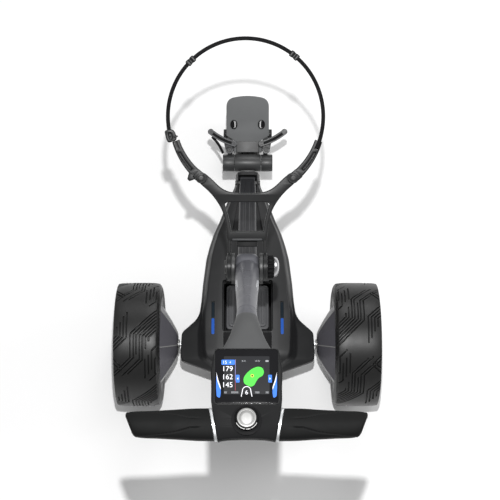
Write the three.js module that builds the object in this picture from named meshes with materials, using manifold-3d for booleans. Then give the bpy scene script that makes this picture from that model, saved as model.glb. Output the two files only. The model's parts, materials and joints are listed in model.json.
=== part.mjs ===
// Electric golf trolley, standing on level ground, ready for a bag.
// Millimetres. +Z is up, +Y is forward (towards the small front wheel), +X is the user's right.
// The layout below is written with the rear axle at y = 0 and the ground at z = 0. The last lines
// shift the whole trolley so that its origin is on the ground under the middle of its length.
import * as THREE from "three";
import { mergeVertices } from "three/addons/utils/BufferGeometryUtils.js";
import Module from "manifold-3d";

const wasm = await Module();
wasm.setup();

// ---------------------------------------------------------------- driving dimensions
const GAP = 0.3; // clearance left between pieces that touch
const RUN = 0.8; // clearance round pieces that turn

const rearAxle = { y: 0, z: 140 };
const rearTyre = { radius: 140, inner: 198, outer: 294, bead: 86, bulge: 6 };
const hubNose = 158; // how near to the middle the wheel's cone reaches
const axleRadius = 6;

const frontAxle = { y: 551, z: 90 };
const frontTyre = { radius: 90, halfWidth: 29, bead: 62 };

const frontPivot = { y: 427, z: 194, radius: 20 };
const spinePivot = { y: 375, z: 196 };
const hinge = { y: 19, z: 620 }; // the handle's hinge, clamped by the side knob
const hingeOffset = 44; // the hinge stands this far in front of the spine's axis

const bagTilt = THREE.MathUtils.degToRad(26); // slope of the base plate and of the upper support
const baseEdge = { y: 476, z: 205 }; // rear edge of the bag's base plate
// The strap loop's middle, thickness and depth, measured in the support's plane from the hinge.
const ring = { x: -3, centre: 290, inner: 146.4, outer: 152, back: -13, front: 0 };
const armPivot = { x: 89, y: 173 }; // upper arm's screw, in the support's plane
const pivotAngle = Math.atan2(armPivot.y - ring.centre, armPivot.x);

const consoleBody = { front: -233, rear: -388, top: 935, split: 912, bottom: 897 };
const crossBar = { y: -357.6, z: 917, half: 186, radius: 9 };
const grip = { trim: 56, end: 192.5 };
const stemAngle = THREE.MathUtils.degToRad(125);
const stemLength = 300;

// ---------------------------------------------------------------- materials
const finish = (color, roughness, metalness = 0) =>
  new THREE.MeshStandardMaterial({ color, roughness, metalness });
const material = {
  shell: finish(0x2b2c2d, 0.5),
  structure: finish(0x232425, 0.55),
  plate: finish(0x5d5f60, 0.6),
  tube: finish(0x55565c, 0.35, 0.7),
  tyre: finish(0x1c1c1d, 0.75),
  rim: finish(0x47454e, 0.45),
  grip: finish(0x202122, 0.8),
  trim: finish(0xc9cbcc, 0.25, 1),
  steel: finish(0xa8aaad, 0.3, 1),
  glass: finish(0x0c0d10, 0.1),
  accent: finish(0x1f5fbf, 0.4),
  strap: finish(0x202122, 0.7),
  battery: finish(0x3a3a3e, 0.6),
};

// ---------------------------------------------------------------- solid helpers
function solidOf(geometry) {
  const flat = geometry.index ? geometry.toNonIndexed() : geometry.clone();
  for (const name of Object.keys(flat.attributes)) {
    if (name !== "position") flat.deleteAttribute(name);
  }
  const merged = mergeVertices(flat, 1e-4);
  const triVerts = new Uint32Array(merged.index.array);
  const mesh = () =>
    new wasm.Mesh({ numProp: 3, vertProperties: merged.attributes.position.array, triVerts });
  const solid = new wasm.Manifold(mesh());
  if (solid.volume() >= 0) return solid;
  for (let i = 0; i < triVerts.length; i += 3) {
    [triVerts[i + 1], triVerts[i + 2]] = [triVerts[i + 2], triVerts[i + 1]];
  }
  return new wasm.Manifold(mesh());
}

function geometryOf(solid) {
  const mesh = solid.getMesh();
  const positions = new Float32Array(mesh.numVert * 3);
  for (let i = 0; i < mesh.numVert; i++) {
    positions.set(mesh.vertProperties.subarray(i * mesh.numProp, i * mesh.numProp + 3), i * 3);
  }
  const geometry = new THREE.BufferGeometry();
  geometry.setAttribute("position", new THREE.BufferAttribute(positions, 3));
  geometry.setIndex(new THREE.BufferAttribute(new Uint32Array(mesh.triVerts), 1));
  geometry.computeVertexNormals();
  return geometry;
}

const join = (...parts) =>
  geometryOf(parts.map(solidOf).reduce((whole, next) => whole.add(next)));
const cut = (body, ...tools) =>
  geometryOf(tools.map(solidOf).reduce((rest, tool) => rest.subtract(tool), solidOf(body)));
const common = (a, b) => geometryOf(solidOf(a).intersect(solidOf(b)));

// A box given by its lowest and highest corners.
function box(x0, x1, y0, y1, z0, z1) {
  const made = new THREE.BoxGeometry(x1 - x0, y1 - y0, z1 - z0);
  return made.translate((x0 + x1) / 2, (y0 + y1) / 2, (z0 + z1) / 2);
}

// A round bar along X between x0 and x1, centred on (y, z).
function barX(radius, x0, x1, y, z, sides = 32) {
  const made = new THREE.CylinderGeometry(radius, radius, x1 - x0, sides);
  return made.rotateZ(Math.PI / 2).translate((x0 + x1) / 2, y, z);
}

// A round bar along Z between z0 and z1, centred on (x, y).
function barZ(radius, x, y, z0, z1, sides = 32) {
  const made = new THREE.CylinderGeometry(radius, radius, z1 - z0, sides);
  return made.rotateX(Math.PI / 2).translate(x, y, (z0 + z1) / 2);
}

// A body turned about X from [radius, x] points that close on themselves.
function turned(profile, sides = 48) {
  const points = profile.map(([radius, x]) => new THREE.Vector2(radius, x));
  points.push(points[0].clone());
  return new THREE.LatheGeometry(points, sides).rotateZ(-Math.PI / 2);
}

// A flat outline in the side view, [y, z] points, made solid between x0 and x1.
function sidePlate(points, x0, x1) {
  const shape = new THREE.Shape(points.map(([y, z]) => new THREE.Vector2(y, z)));
  const made = new THREE.ExtrudeGeometry(shape, { depth: x1 - x0, bevelEnabled: false });
  const basis = new THREE.Matrix4().makeBasis(
    new THREE.Vector3(0, 1, 0),
    new THREE.Vector3(0, 0, 1),
    new THREE.Vector3(1, 0, 0),
  );
  return made.applyMatrix4(basis).translate(x0, 0, 0);
}

// A flat outline in plan, made solid between two heights.
function planPlate(shape, z0, z1, curveSegments = 8) {
  const made = new THREE.ExtrudeGeometry(shape, {
    depth: z1 - z0,
    bevelEnabled: false,
    curveSegments,
  });
  return made.translate(0, 0, z0);
}

// A skin through closed loops of points, with the two end loops filled in.
function loft(loops, flatten) {
  const positions = [];
  const put = (...corners) => corners.forEach((p) => positions.push(p.x, p.y, p.z));
  for (let i = 0; i + 1 < loops.length; i++) {
    const [a, b] = [loops[i], loops[i + 1]];
    a.forEach((p, j) => {
      const k = (j + 1) % a.length;
      put(p, a[k], b[k]);
      put(p, b[k], b[j]);
    });
  }
  // The first end runs against its loop's own sense and the last end runs with it.
  const sense = (points) => Math.sign(THREE.ShapeUtils.area(points));
  const ends = [
    [loops[0], -1],
    [loops[loops.length - 1], 1],
  ];
  for (const [loop, wanted] of ends) {
    const flat = loop.map(flatten);
    for (const [a, b, c] of THREE.ShapeUtils.triangulateShape(flat, [])) {
      const same = sense([flat[a], flat[b], flat[c]]) === sense(flat) * wanted;
      if (same) put(loop[a], loop[b], loop[c]);
      else put(loop[a], loop[c], loop[b]);
    }
  }
  const geometry = new THREE.BufferGeometry();
  geometry.setAttribute("position", new THREE.Float32BufferAttribute(positions, 3));
  return geometry;
}

const mirrorX = (geometry) => geometryOf(solidOf(geometry.clone().scale(-1, 1, 1)));

// An oval loop round a point of the side view: its width lies along X and its depth across
// the direction that the path takes there.
function ovalLoop({ y, z, angle, width, depth }, sides = 24, power = 2.6) {
  const across = { y: -Math.sin(angle), z: Math.cos(angle) };
  return Array.from({ length: sides }, (_, i) => {
    const turn = (2 * Math.PI * i) / sides;
    const [c, s] = [Math.cos(turn), Math.sin(turn)];
    const u = (width / 2) * Math.sign(c) * Math.abs(c) ** (2 / power);
    const v = (depth / 2) * Math.sign(s) * Math.abs(s) ** (2 / power);
    return new THREE.Vector3(u, y + across.y * v, z + across.z * v);
  });
}

// ---------------------------------------------------------------- assembly
const trolley = new THREE.Group();

function add(name, geometry, look, parent = trolley) {
  const mesh = new THREE.Mesh(geometry, look);
  mesh.name = name;
  parent.add(mesh);
  return mesh;
}

// A group whose local Y runs along a slope of the side view, starting at a point.
function slopedGroup({ y, z }, angle) {
  const group = new THREE.Group();
  group.position.set(0, y, z);
  group.rotation.x = angle;
  trolley.add(group);
  return group;
}

// ---------------------------------------------------------------- chassis
// Stations from the rear tip to the front hinge. w is half the width, rail half the width of
// the raised middle, top its height, wing the height of the shoulder beside it, low the height
// of the side's lower edge and bottom the keel's.
const stations = [
  { y: -95, w: 12, rail: 8, top: 168, wing: 162, low: 154, bottom: 151 },
  { y: -84, w: 45, rail: 36, top: 178, wing: 168, low: 151, bottom: 138 },
  { y: -72, w: 78, rail: 62, top: 188, wing: 171, low: 150, bottom: 118 },
  { y: -47, w: 147, rail: 95, top: 201, wing: 178, low: 148, bottom: 102 },
  { y: -36, w: 151, rail: 100, top: 204, wing: 178, low: 128, bottom: 97 },
  { y: -24, w: 151, rail: 101, top: 205, wing: 178, low: 104, bottom: 96 },
  { y: 20, w: 149, rail: 102, top: 208, wing: 178, low: 101, bottom: 96 },
  { y: 34, w: 133, rail: 102, top: 209, wing: 179, low: 103, bottom: 97 },
  { y: 48, w: 117, rail: 102, top: 210, wing: 182, low: 110, bottom: 103 },
  { y: 62, w: 109, rail: 101, top: 211, wing: 186, low: 112, bottom: 104 },
  { y: 90, w: 105, rail: 97, top: 212, wing: 190, low: 114, bottom: 105 },
  { y: 130, w: 102, rail: 94, top: 213, wing: 191, low: 118, bottom: 110 },
  { y: 190, w: 95, rail: 86, top: 213, wing: 191, low: 142, bottom: 137 },
  { y: 220, w: 88, rail: 79, top: 212, wing: 191, low: 156, bottom: 152 },
  { y: 250, w: 79, rail: 70, top: 211, wing: 191, low: 166, bottom: 163 },
  { y: 278, w: 67, rail: 58, top: 209, wing: 190, low: 169, bottom: 167 },
  { y: 330, w: 48, rail: 40, top: 207, wing: 190, low: 172, bottom: 170 },
  { y: 356, w: 36, rail: 30, top: 206, wing: 191, low: 173, bottom: 171 },
  { y: 370, w: 30, rail: 26, top: 205, wing: 191, low: 174, bottom: 172 },
  { y: 403, w: 27, rail: 24, top: 204, wing: 191, low: 176, bottom: 174 },
];
const wall = 4;

function chassisLoop(s, inset = 0) {
  const [w, rail, top, low] = [s.w - inset, s.rail - inset, s.top - inset, s.low + inset];
  const [wing, bottom] = [s.wing - inset, s.bottom + inset];
  const side = w - rail;
  const lip = Math.min(8, (wing - low) * 0.3);
  const half = [
    [rail * 0.66, top],
    [rail * 0.93, top - 4],
    [rail, top - Math.min(13, (s.top - s.wing) * 0.6)],
    [rail + side * 0.22, wing + 1],
    [w, wing - lip],
    [w, low + lip],
    [w - Math.min(8, w * 0.3), low],
    [w * 0.5, bottom],
  ];
  const other = half.map(([x, z]) => [-x, z]).reverse();
  return [...half, ...other].map(([x, z]) => new THREE.Vector3(x, s.y, z));
}

const fromFront = (p) => new THREE.Vector2(p.x, p.z);
const chassisOuter = loft(
  stations.map((s) => chassisLoop(s)),
  fromFront,
);
const hollowStations = stations.filter((s) => s.y > -90 && s.y < 310);
const chassisHollow = loft(
  hollowStations.map((s) => chassisLoop(s, wall)),
  fromFront,
);

// The spine folds down into this channel. Its floor follows the folded spine.
const channelHalf = 21.5;
const channelSide = (grow) => [
  [392.5 + grow, 240],
  [392.5 + grow, 188 - grow],
  [384, 179 - grow],
  [366, 179 - grow],
  [170 - 2 * grow, 211 - grow],
  [170 - 2 * grow, 240],
];
const channel = (grow) => sidePlate(channelSide(grow), -channelHalf - grow, channelHalf + grow);

// The battery stands in an open bay between the rails.
const bay = { half: 57, rear: 12, front: 131, floor: 120 };
const bayBox = (grow) =>
  box(
    -bay.half - grow,
    bay.half + grow,
    bay.rear - grow,
    bay.front + grow,
    bay.floor - grow,
    260,
  );

// The two shells meet on a plane that rises gently towards the front.
const seamSlope = 46 / 405;
const seam = (y) => rearAxle.z + seamSlope * y;
const belowSeam = (lift) =>
  sidePlate(
    [
      [-150, seam(-150) + lift],
      [-150, 0],
      [450, 0],
      [450, seam(450) + lift],
    ],
    -200,
    200,
  );

const hollow = cut(chassisHollow, channel(wall), bayBox(wall));
const axleBore = barX(axleRadius + 1, -170, 170, rearAxle.y, rearAxle.z, 24);
const rootBore = barX(5 + GAP, -45, 45, spinePivot.y, spinePivot.z, 20);
const tongueSlot = box(-16.5, 16.5, 394, 410, 179.5, 197.5);
const slot = { x: 77.5, half: 3.6, rear: 4, front: 80 };

// Long narrow recess in the top of a rail, which holds a coloured insert.
function accentSlot(side, shrink = 0) {
  const rounded = new THREE.Shape();
  const [w, y0, y1] = [slot.half - shrink, slot.rear + shrink, slot.front - shrink];
  rounded.moveTo(-w, y0 + w);
  rounded.absarc(0, y0 + w, w, Math.PI, 2 * Math.PI);
  rounded.lineTo(w, y1 - w);
  rounded.absarc(0, y1 - w, w, 0, Math.PI);
  const top = stations.find((s) => s.y === 48).top;
  return planPlate(rounded, top - 6.4 + shrink, top + (shrink ? -3.4 : 8), 5).translate(
    side * slot.x,
    0,
    0,
  );
}

const bearing = { x0: 128, x1: 140, outer: 16 };
const bearingSeat = (side) =>
  barX(
    bearing.outer + GAP,
    Math.min(side * (bearing.x0 - GAP), side * (bearing.x1 + GAP)),
    Math.max(side * (bearing.x0 - GAP), side * (bearing.x1 + GAP)),
    rearAxle.y,
    rearAxle.z,
    24,
  );
// A block inside each wing that holds the axle's bearing.
const bearingBlock = (side) => {
  const [a, b] = [side * 124, side * 146.5].sort((p, q) => p - q);
  return box(a, b, -21, 24, 108, 173);
};

function chassisShells() {
  const thick = cut(chassisOuter, hollow);
  const full = cut(
    join(thick, bearingBlock(1), bearingBlock(-1)),
    channel(0),
    bayBox(0),
    axleBore,
    rootBore,
    tongueSlot,
    bearingSeat(1),
    bearingSeat(-1),
  );
  const upper = cut(full, belowSeam(GAP / 2), accentSlot(1), accentSlot(-1));
  const lower = common(full, belowSeam(-GAP / 2));
  add("chassis_upper_shell", upper, material.shell);
  add("chassis_lower_shell", lower, material.structure);
}

function chassisFittings() {
  for (const [name, side] of [["left", -1], ["right", 1]]) {
    add(`accent_insert_${name}`, accentSlot(side, GAP), material.accent);
    const [a, b] = [side * bearing.x0, side * bearing.x1].sort((p, q) => p - q);
    const race = cut(
      barX(bearing.outer, a, b, rearAxle.y, rearAxle.z, 24),
      barX(axleRadius + GAP, a - 1, b + 1, rearAxle.y, rearAxle.z, 24),
    );
    add(`axle_bearing_${name}`, race, material.steel);
  }

  // Middle knuckle of the front hinge, with a tongue that goes into the beam.
  const knuckle = join(
    barX(frontPivot.radius, -31, 31, frontPivot.y, frontPivot.z, 28),
    box(-16, 16, 395, frontPivot.y, 180, 197),
  );
  const pinHole = barX(5 + GAP, -70, 70, frontPivot.y, frontPivot.z, 20);
  add("front_hinge_barrel", cut(knuckle, pinHole), material.structure);
  add(
    "front_pivot_pin",
    barX(5, -57.5, 57.5, frontPivot.y, frontPivot.z, 20),
    material.steel,
  );
  add(
    "spine_pivot_pin",
    barX(5, -29, 29, spinePivot.y, spinePivot.z, 20),
    material.steel,
  );
}

function battery() {
  const t = bay;
  const lip = 0.6;
  const tray = cut(
    box(-t.half + lip, t.half - lip, t.rear + lip, t.front - lip, t.floor + GAP, 196),
    box(-t.half + 4, t.half - 4, t.rear + 4, t.front - 4, t.floor + 4, 200),
  );
  add("battery_tray", tray, material.structure);
  const body = { half: 48, rear: 20, front: 124, floor: 125, lid: 184, top: 198 };
  const rounded = (half, y0, y1, r) => {
    const shape = new THREE.Shape();
    shape.moveTo(-half, y0 + r);
    shape.absarc(-half + r, y0 + r, r, Math.PI, 1.5 * Math.PI);
    shape.absarc(half - r, y0 + r, r, 1.5 * Math.PI, 2 * Math.PI);
    shape.absarc(half - r, y1 - r, r, 0, 0.5 * Math.PI);
    shape.absarc(-half + r, y1 - r, r, 0.5 * Math.PI, Math.PI);
    return shape;
  };
  const outline = rounded(body.half, body.rear, body.front, 8);
  add("battery_case", planPlate(outline, body.floor, body.lid, 4), material.battery);
  const lid = join(
    planPlate(outline, body.lid + GAP, body.top - 5, 4),
    planPlate(rounded(body.half - 6, body.rear + 6, body.front - 6, 8), body.top - 6, body.top, 4),
  );
  add("battery_lid", lid, material.battery);
}

// ---------------------------------------------------------------- drive
const gear = { teeth: 24, pinion: 9, module: 2.4, x0: 70, x1: 80 };

// A straight-toothed gear about X: four points to a tooth.
function gearBody(teeth, y, z, x0, x1, phase) {
  const pitch = (teeth * gear.module) / 2;
  const [tip, root] = [pitch + gear.module * 0.85, pitch - gear.module * 1.1];
  const step = (2 * Math.PI) / teeth;
  const outline = [];
  for (let i = 0; i < teeth; i++) {
    const middle = phase + i * step;
    const corners = [
      [-0.3, root],
      [-0.13, tip],
      [0.13, tip],
      [0.3, root],
    ];
    for (const [share, radius] of corners) {
      const turn = middle + share * step;
      outline.push([y + radius * Math.cos(turn), z + radius * Math.sin(turn)]);
    }
  }
  return sidePlate(outline, x0, x1);
}

function drive() {
  const centres = ((gear.teeth + gear.pinion) * gear.module) / 2;
  const motor = { y: rearAxle.y - centres, z: rearAxle.z, radius: 26 };
  const rotor = { x0: -54, x1: 40, radius: 20 };
  const shaftRadius = 4;
  add(
    "rear_axle",
    barX(axleRadius, -284, 284, rearAxle.y, rearAxle.z, 24),
    material.steel,
  );
  const wheel = cut(
    gearBody(gear.teeth, rearAxle.y, rearAxle.z, gear.x0, gear.x1, 0),
    barX(axleRadius + GAP, 60, 90, rearAxle.y, rearAxle.z, 24),
  );
  add("drive_gear", wheel, material.steel);
  const halfTooth = Math.PI / gear.pinion;
  const pinion = join(
    gearBody(gear.pinion, motor.y, motor.z, gear.x0, gear.x1, halfTooth),
    barX(shaftRadius, rotor.x1 - 1, gear.x0 + 1, motor.y, motor.z, 16),
    barX(rotor.radius, rotor.x0, rotor.x1, motor.y, motor.z, 28),
  );
  add("motor_pinion", pinion, material.steel);
  const can = cut(
    join(
      barX(motor.radius, -62, 48, motor.y, motor.z, 32),
      barX(11, 47, 62, motor.y, motor.z, 24),
    ),
    barX(rotor.radius + RUN, rotor.x0 - RUN, rotor.x1 + RUN, motor.y, motor.z, 28),
    barX(shaftRadius + GAP, rotor.x1, 70, motor.y, motor.z, 16),
  );
  add("drive_motor", can, material.steel);
  // The gearbox is a cup round both gears, with a way through for the axle and the pinion.
  const [x0, x1] = [gear.x0 - 4, gear.x1 + 4];
  const cup = join(
    barX(34, x0, x1, rearAxle.y, rearAxle.z, 32),
    barX(17, x0, x1, motor.y, motor.z, 24),
    box(x0, x1, motor.y, rearAxle.y, rearAxle.z - 17, rearAxle.z + 17),
  );
  const inside = [
    barX(31.6, gear.x0 - 1, gear.x1 + 1, rearAxle.y, rearAxle.z, 36),
    barX(14, gear.x0 - 1, gear.x1 + 1, motor.y, motor.z, 24),
    box(gear.x0 - 1, gear.x1 + 1, motor.y, rearAxle.y, rearAxle.z - 13, rearAxle.z + 13),
    barX(axleRadius + RUN, x0 - 5, x1 + 5, rearAxle.y, rearAxle.z, 24),
    barX(6, x0 - 5, gear.x0, motor.y, motor.z, 20),
  ];
  add("gearbox_case", cut(cup, ...inside), material.steel);
}

// ---------------------------------------------------------------- rear wheels
function tyreProfile({ radius, inner, outer, bead, bulge }) {
  return [
    [bead, inner + 6],
    [bead + 1, inner - bulge * 0.5],
    [bead + 8, inner - bulge],
    [bead + 30, inner - bulge * 0.6],
    [radius - 3, inner + 0.6],
    [radius, inner + 5],
    [radius, outer - 6],
    [radius - 3, outer - 1],
    [bead + 26, outer + bulge - 6],
    [bead + 12, outer + bulge - 7],
    [bead + 2, outer - 2],
    [bead, outer - 6],
  ];
}

const wheelSides = 36; // tyre and rim share their facets, so that they seat evenly

function rearWheel(name, side) {
  const place = (geometry) => {
    const made = side > 0 ? geometry : mirrorX(geometry);
    return made.translate(0, rearAxle.y, rearAxle.z);
  };
  const { inner, outer, bead } = rearTyre;
  const seat = bead - GAP;
  add(`${name}_tyre`, place(turned(tyreProfile(rearTyre), wheelSides)), material.tyre);

  // One moulding: the barrel under the tyre, the six-sided inward cone and the hub.
  const bore = axleRadius + GAP;
  const barrel = turned(
    [
      [bore, hubNose],
      [16, hubNose],
      [19, hubNose + 14],
      [70, inner - 6],
      [seat, inner + 3],
      [seat, outer - 6],
      [seat - 6, outer - 6],
      [seat - 6, inner + 10],
      [60, inner + 2],
      [19, hubNose + 24],
      [17, 258],
      [bore, 258],
    ],
    wheelSides,
  );
  const cone = turned(
    [
      [17, hubNose],
      [22, hubNose + 2],
      [47, hubNose + 14],
      [75, hubNose + 30],
      [88, inner - 5],
      [80, inner - 3],
      [17, hubNose + 17],
    ],
    6,
  ).rotateX(Math.PI / 2);
  const rim = join(barrel, cone);
  add(`${name}_rim`, place(rim), material.rim);

  // Outer cover: a shallow dish with windows between six spokes.
  const windows = Array.from({ length: 6 }, (_, i) => {
    const pane = sidePlate(
      [
        [33, -9],
        [66, -19],
        [71, 0],
        [66, 19],
        [33, 9],
      ],
      240,
      300,
    );
    return pane.rotateX((i * Math.PI) / 3);
  });
  const dish = turned(
    [
      [20, 262],
      [30, 266],
      [seat - 7, 276],
      [seat - 7, 281],
      [30, 271],
      [24, 271],
      [24, 279],
      [20, 279],
    ],
    20,
  );
  add(`${name}_wheel_cover`, place(cut(dish, ...windows)), material.rim);

  // Push button at the hub that frees the wheel from the axle.
  const button = turned(
    [
      [axleRadius + 1, 262],
      [18.5, 262],
      [18.5, 285],
      [16, 287.5],
      [11, 287.5],
      [11, 275],
      [axleRadius + 1, 275],
    ],
    20,
  );
  add(`${name}_release_button`, place(button), material.structure);
}

// ---------------------------------------------------------------- front carrier
const carrier = slopedGroup(baseEdge, bagTilt);

const frontSides = 30;

function frontWheel() {
  const { radius, halfWidth, bead } = frontTyre;
  const place = (geometry) => geometry.translate(0, frontAxle.y, frontAxle.z);
  const half = [
    [bead, -halfWidth + 6],
    [bead + 3, -halfWidth + 1],
    [bead + 14, -halfWidth],
    [radius - 6, -halfWidth + 3],
    [radius - 1, -halfWidth + 10],
    [radius, -halfWidth + 16],
  ];
  const other = half.map(([r, x]) => [r, -x]).reverse();
  add("front_tyre", place(turned([...half, ...other], frontSides)), material.tyre);
  const seat = bead - GAP;
  const drum = turned(
    [
      [7, -24],
      [15, -24],
      [15, -12],
      [seat - 7, -6],
      [seat - 7, -22],
      [seat, -22],
      [seat, 22],
      [seat - 7, 22],
      [seat - 7, 6],
      [15, 12],
      [15, 24],
      [7, 24],
    ],
    frontSides,
  );
  const windows = Array.from({ length: 5 }, (_, i) => {
    const pane = sidePlate(
      [
        [22, -6],
        [48, -17],
        [51, 0],
        [48, 17],
        [22, 6],
      ],
      -30,
      30,
    );
    return pane.rotateX((i * 2 * Math.PI) / 5);
  });
  add("front_rim", place(cut(drum, ...windows)), material.rim);
  const shaft = join(
    barX(6, -57, 57, frontAxle.y, frontAxle.z, 20),
    barX(11, -59, -48, frontAxle.y, frontAxle.z, 24),
    barX(11, 48, 59, frontAxle.y, frontAxle.z, 24),
  );
  add("front_axle", shaft, material.structure);
}

const earX = 43;
const earY = -18;
const armFloor = 14; // the lower arms stand this far above the base plate
const armHeight = 20;

function frontFork() {
  const cheek = [
    [427, 214],
    [441, 208],
    [447, 196],
    [458, 190],
    [484, 201],
    [501, 191],
    [534, 148],
    [562, 100],
    [566, 90],
    [561, 79],
    [551, 75],
    [540, 79],
    [491, 122],
    [452, 160],
    [434, 175],
    [419, 176],
    [409, 185],
    [407, 197],
    [414, 209],
  ];
  const bridge = box(-38, 38, -22, 0, -34, -6 - GAP);
  const boss = (side) => barZ(7, side * earX, earY, -24, armFloor - GAP, 20);
  const place = (geometry) =>
    geometry.rotateX(bagTilt).translate(0, baseEdge.y, baseEdge.z);
  const arms = [-1, 1].map((side) => {
    const [a, b] = [side * 37, side * 47].sort((p, q) => p - q);
    return sidePlate(cheek, a, b);
  });
  const knuckles = [-1, 1].map((side) => {
    const [a, b] = [side * 31.6, side * 58].sort((p, q) => p - q);
    return barX(frontPivot.radius, a, b, frontPivot.y, frontPivot.z, 28);
  });
  const body = join(...arms, ...knuckles, place(bridge), place(boss(1)), place(boss(-1)));
  const holes = [
    barX(5 + GAP, -57.8, 57.8, frontPivot.y, frontPivot.z, 20),
    barX(6 + GAP, -60, 60, frontAxle.y, frontAxle.z, 20),
    barX(11 + GAP, -62, -47.7, frontAxle.y, frontAxle.z, 24),
    barX(11 + GAP, 47.7, 62, frontAxle.y, frontAxle.z, 24),
  ];
  add("front_fork", cut(body, ...holes), material.structure);
}

const plate = { half: 50, length: 108, thick: 6, socketX: 32.5, socketY: 41 };

function basePlate() {
  const { half, length } = plate;
  const outline = new THREE.Shape();
  outline.moveTo(-26, -24);
  outline.lineTo(26, -24);
  outline.lineTo(26, 0);
  outline.lineTo(half, 15);
  outline.lineTo(half, length - 26);
  outline.quadraticCurveTo(half, length - 6, half - 20, length - 3);
  outline.quadraticCurveTo(0, length + 3, -half + 20, length - 3);
  outline.quadraticCurveTo(-half, length - 6, -half, length - 26);
  outline.lineTo(-half, 15);
  outline.lineTo(-26, 0);
  const socket = (side) => {
    const oval = new THREE.Shape();
    oval.absellipse(side * plate.socketX, plate.socketY, 6, 8.5, 0, 2 * Math.PI);
    return planPlate(oval, -20, 20, 8);
  };
  const rib = (x) => box(x - 2, x + 2, 4, 92, -16, -3);
  const body = join(planPlate(outline, -plate.thick, 0, 6), rib(-16), rib(0), rib(16));
  add("bag_base_plate", cut(body, socket(1), socket(-1)), material.plate, carrier);
}

function lowerArms() {
  for (const [name, side] of [["left", -1], ["right", 1]]) {
    // The band curves from beside the neck to its raised outer tip.
    const centre = new THREE.QuadraticBezierCurve(
      new THREE.Vector2(29, -4),
      new THREE.Vector2(62, 4),
      new THREE.Vector2(88, 26),
    );
    const band = new THREE.Shape();
    const count = 8;
    const edge = (t, offset) => {
      const p = centre.getPoint(t);
      const d = centre.getTangent(t);
      return new THREE.Vector2(p.x - d.y * offset, p.y + d.x * offset);
    };
    const points = [];
    for (let i = 0; i <= count; i++) points.push(edge(i / count, 4.5));
    for (let i = count; i >= 0; i--) points.push(edge(i / count, -4.5));
    band.setFromPoints(points);
    const web = new THREE.Shape(
      [
        [34, -18],
        [52, -18],
        [56, 3],
        [36, -2],
      ].map(([x, y]) => new THREE.Vector2(x, y)),
    );
    const body = cut(
      join(
        planPlate(band, armFloor, armFloor + armHeight),
        planPlate(web, armFloor, armFloor + 8),
        barZ(9, earX, earY, armFloor, armFloor + 8, 24),
      ),
      barZ(3, earX, earY, 0, 60, 16),
    );
    const mesh = side > 0 ? body : mirrorX(body);
    add(`lower_arm_${name}`, mesh, material.structure, carrier);
  }
  // Elastic strap from the left arm back to the hinge's left end.
  const strap = new THREE.Shape(
    [
      [-76, 5],
      [-60, -4],
      [-55.5, -26],
      [-59.5, -27],
    ].map(([x, y]) => new THREE.Vector2(x, y)),
  );
  add("lower_strap", planPlate(strap, 20, 30), material.strap, carrier);
}

// ---------------------------------------------------------------- spine
const toHinge = new THREE.Vector2(hinge.y - spinePivot.y, hinge.z - spinePivot.z);
const spineAngle = toHinge.angle() + Math.asin(hingeOffset / toHinge.length());
const hingeAlong = Math.sqrt(toHinge.lengthSq() - hingeOffset ** 2);
const spine = slopedGroup(spinePivot, spineAngle);
const tube = { half: 19, thick: 15, end: hingeAlong - 38 };
const cheeks = { inner: 24, outer: 30.5 };
const knuckle = { radius: 26, half: 23 };

function spineTube() {
  const loop = (y, half, thick) => {
    const r = 5;
    const corners = [
      [half - r, thick],
      [half - r * 0.3, thick - r * 0.3],
      [half, thick - r],
      [half, -thick + r],
      [half - r * 0.3, -thick + r * 0.3],
      [half - r, -thick],
    ];
    const other = corners.map(([x, z]) => [-x, z]).reverse();
    return [...corners, ...other].map(([x, z]) => new THREE.Vector3(x, y, z));
  };
  const body = loft(
    [
      loop(0, 17, 13),
      loop(30, 18, 14),
      loop(70, tube.half, tube.thick),
      loop(tube.end, tube.half, tube.thick),
    ],
    fromFront,
  );
  const foot = barX(14.5, -17, 17, 0, 0, 32);
  const made = cut(join(body, foot), barX(5 + GAP, -40, 40, 0, 0, 20));
  add("spine_tube", made, material.tube, spine);
}

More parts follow.
